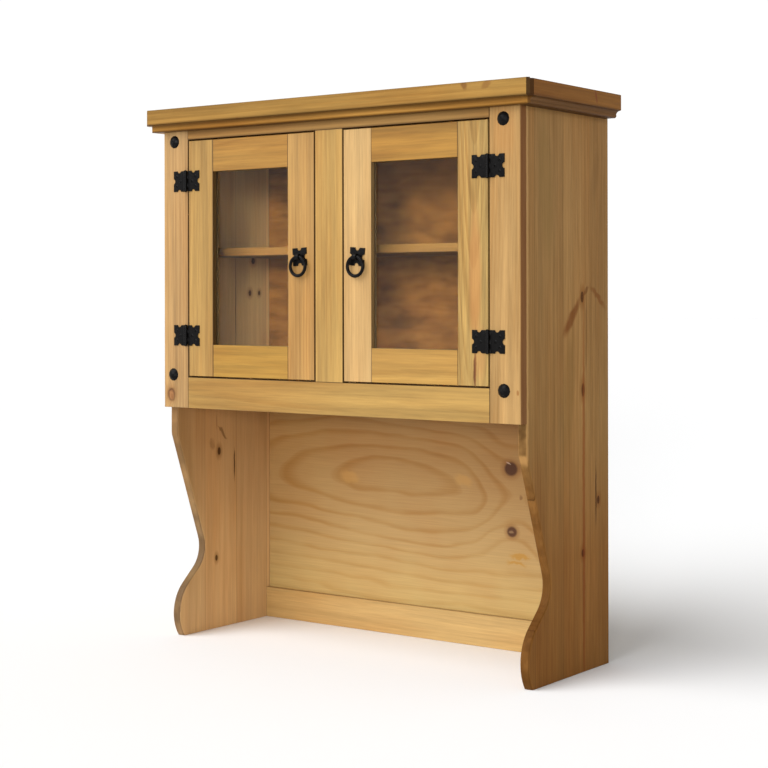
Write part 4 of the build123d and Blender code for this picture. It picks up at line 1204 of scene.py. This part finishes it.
# %% Heads at their places
def head_tree(name, recess):
    """A dome at every point, turned by the point's attribute 'turn' and dented by a seeded dice."""
    sizes = {"Radius": 4 * MM, "Height": 2 * MM, "Sides": 12, "Rings": 4, "Fullness": 2.0}
    tree, given = open_tree(name, **sizes, Dent=0.0, Seed=0, Finish=iron)
    head, fall = domed_head(tree, given)
    if recess:
        head = with_recess(tree, given, head)
    note = {"Geometry": head, "Name": "free", "Value": fall}
    kept = add(tree, "GeometryNodeStoreNamedAttribute", note, data_type="FLOAT", domain="POINT")
    turn = add(tree, "GeometryNodeInputNamedAttribute", {"Name": "turn"}, data_type="FLOAT_VECTOR")
    at = {"Points": given["Geometry"], "Instance": kept, "Rotation": turn}
    real = add(tree, "GeometryNodeRealizeInstances", [add(tree, "GeometryNodeInstanceOnPoints", at)])
    throw = {"Min": (-1, -1, -1), "Max": (1, 1, 1), "Seed": given["Seed"]}
    dice = add(tree, "FunctionNodeRandomValue", throw, data_type="FLOAT_VECTOR")
    free = add(tree, "GeometryNodeInputNamedAttribute", {"Name": "free"}, data_type="FLOAT")
    much = add(tree, "ShaderNodeMath", [free, given["Dent"]], operation="MULTIPLY")
    shove = add(tree, "ShaderNodeVectorMath", {0: dice, "Scale": much}, operation="SCALE")
    dented = add(tree, "GeometryNodeSetPosition", {"Geometry": real, "Offset": shove})
    close_tree(tree, dented, given["Finish"])
    return tree


def places(spots, tip, spin_seed):
    """A mesh of loose points in mm, each with a turn that tips it up by the angle and spins it anyhow."""
    mesh = bpy.data.meshes.new("places")
    mesh.from_pydata([Vector(spot) * MM for spot in spots], [], [])
    turns = mesh.attributes.new("turn", "FLOAT_VECTOR", "POINT")
    for index, item in enumerate(turns.data):
        item.vector = (tip, (index * 2.399 + spin_seed) % math.tau, 0.0)
    return mesh


plain_head, cross_head = head_tree("plain_head", False), head_tree("cross_head", True)
FORWARD, BACKWARD = math.pi / 2, -math.pi / 2
print("head trees:", plain_head.name, cross_head.name)

# %% Hinge screws
SCREW_SPOTS = [(25.5, 10.0), (25.5, -10.0), (16.0, 0.0)]
SCREW_SIZES = {"Radius": 3.3 * MM, "Height": 1.5 * MM, "Sides": 28, "Rings": 5}
SCREW_GROUPS = [
    # label, body, (door, side the leaf reaches to), solid
    ("frame", "carcass", [("left", -1), ("right", 1)], "frame_hinge_screws"),
    ("left", "left_door", [("left", 1)], "left_door_hinge_screws"),
    ("right", "right_door", [("right", -1)], "right_door_hinge_screws"),
]
for label, body, leaves, node in SCREW_GROUPS:
    spots = [
        (HINGE_X[door] + side * u, FACE - LEAF_THICK, z + v)
        for door, side in leaves for z in HINGE_ZS[door] for u, v in SCREW_SPOTS
    ]
    mesh = grown("screws_" + label, places(spots, FORWARD, 0.4 * len(leaves)), cross_head, 30, **SCREW_SIZES)
    place_piece("screws_" + label, mesh, body, "black_iron", node)

# %% Forged nails
NAIL_SPOTS = [(-401.5, FACE, 1020.6), (394.4, FACE, 1019.9), (-405.3, FACE, 543.3), (395.0, FACE, 534.9)]
NAIL_SIZES = {"Radius": 13.0 * MM, "Height": 6.8 * MM, "Sides": 12, "Rings": 4, "Fullness": 2.3}
NAIL_SIZES |= {"Dent": 0.45 * MM, "Seed": 4}
mesh = grown("nails_forged", places(NAIL_SPOTS, FORWARD, 0.2), plain_head, 12, **NAIL_SIZES)
place_piece("nails_forged", mesh, "carcass", "black_iron", "dome_nails")

# %% Back nails
BACK = 170.0
SIDE_NAIL_ZS, MIDDLE_NAIL_ZS = (70, 220, 370, 600, 720, 880, 990), (32.0, 530.5, 794.5, 1046.0)
BACK_NAIL_SIZES = {"Radius": 2.4 * MM, "Height": 0.45 * MM, "Sides": 16, "Rings": 3, "Finish": zinc_steel}
spots = [(x, BACK, z) for x in (-416.5, 416.5) for z in SIDE_NAIL_ZS]
spots += [(x, BACK, z) for x in (-220, 0, 220) for z in MIDDLE_NAIL_ZS]
mesh = grown("nails_back", places(spots, BACKWARD, 0.0), plain_head, 30, **BACK_NAIL_SIZES)
place_piece("nails_back", mesh, "carcass", "steel", "back_nails")
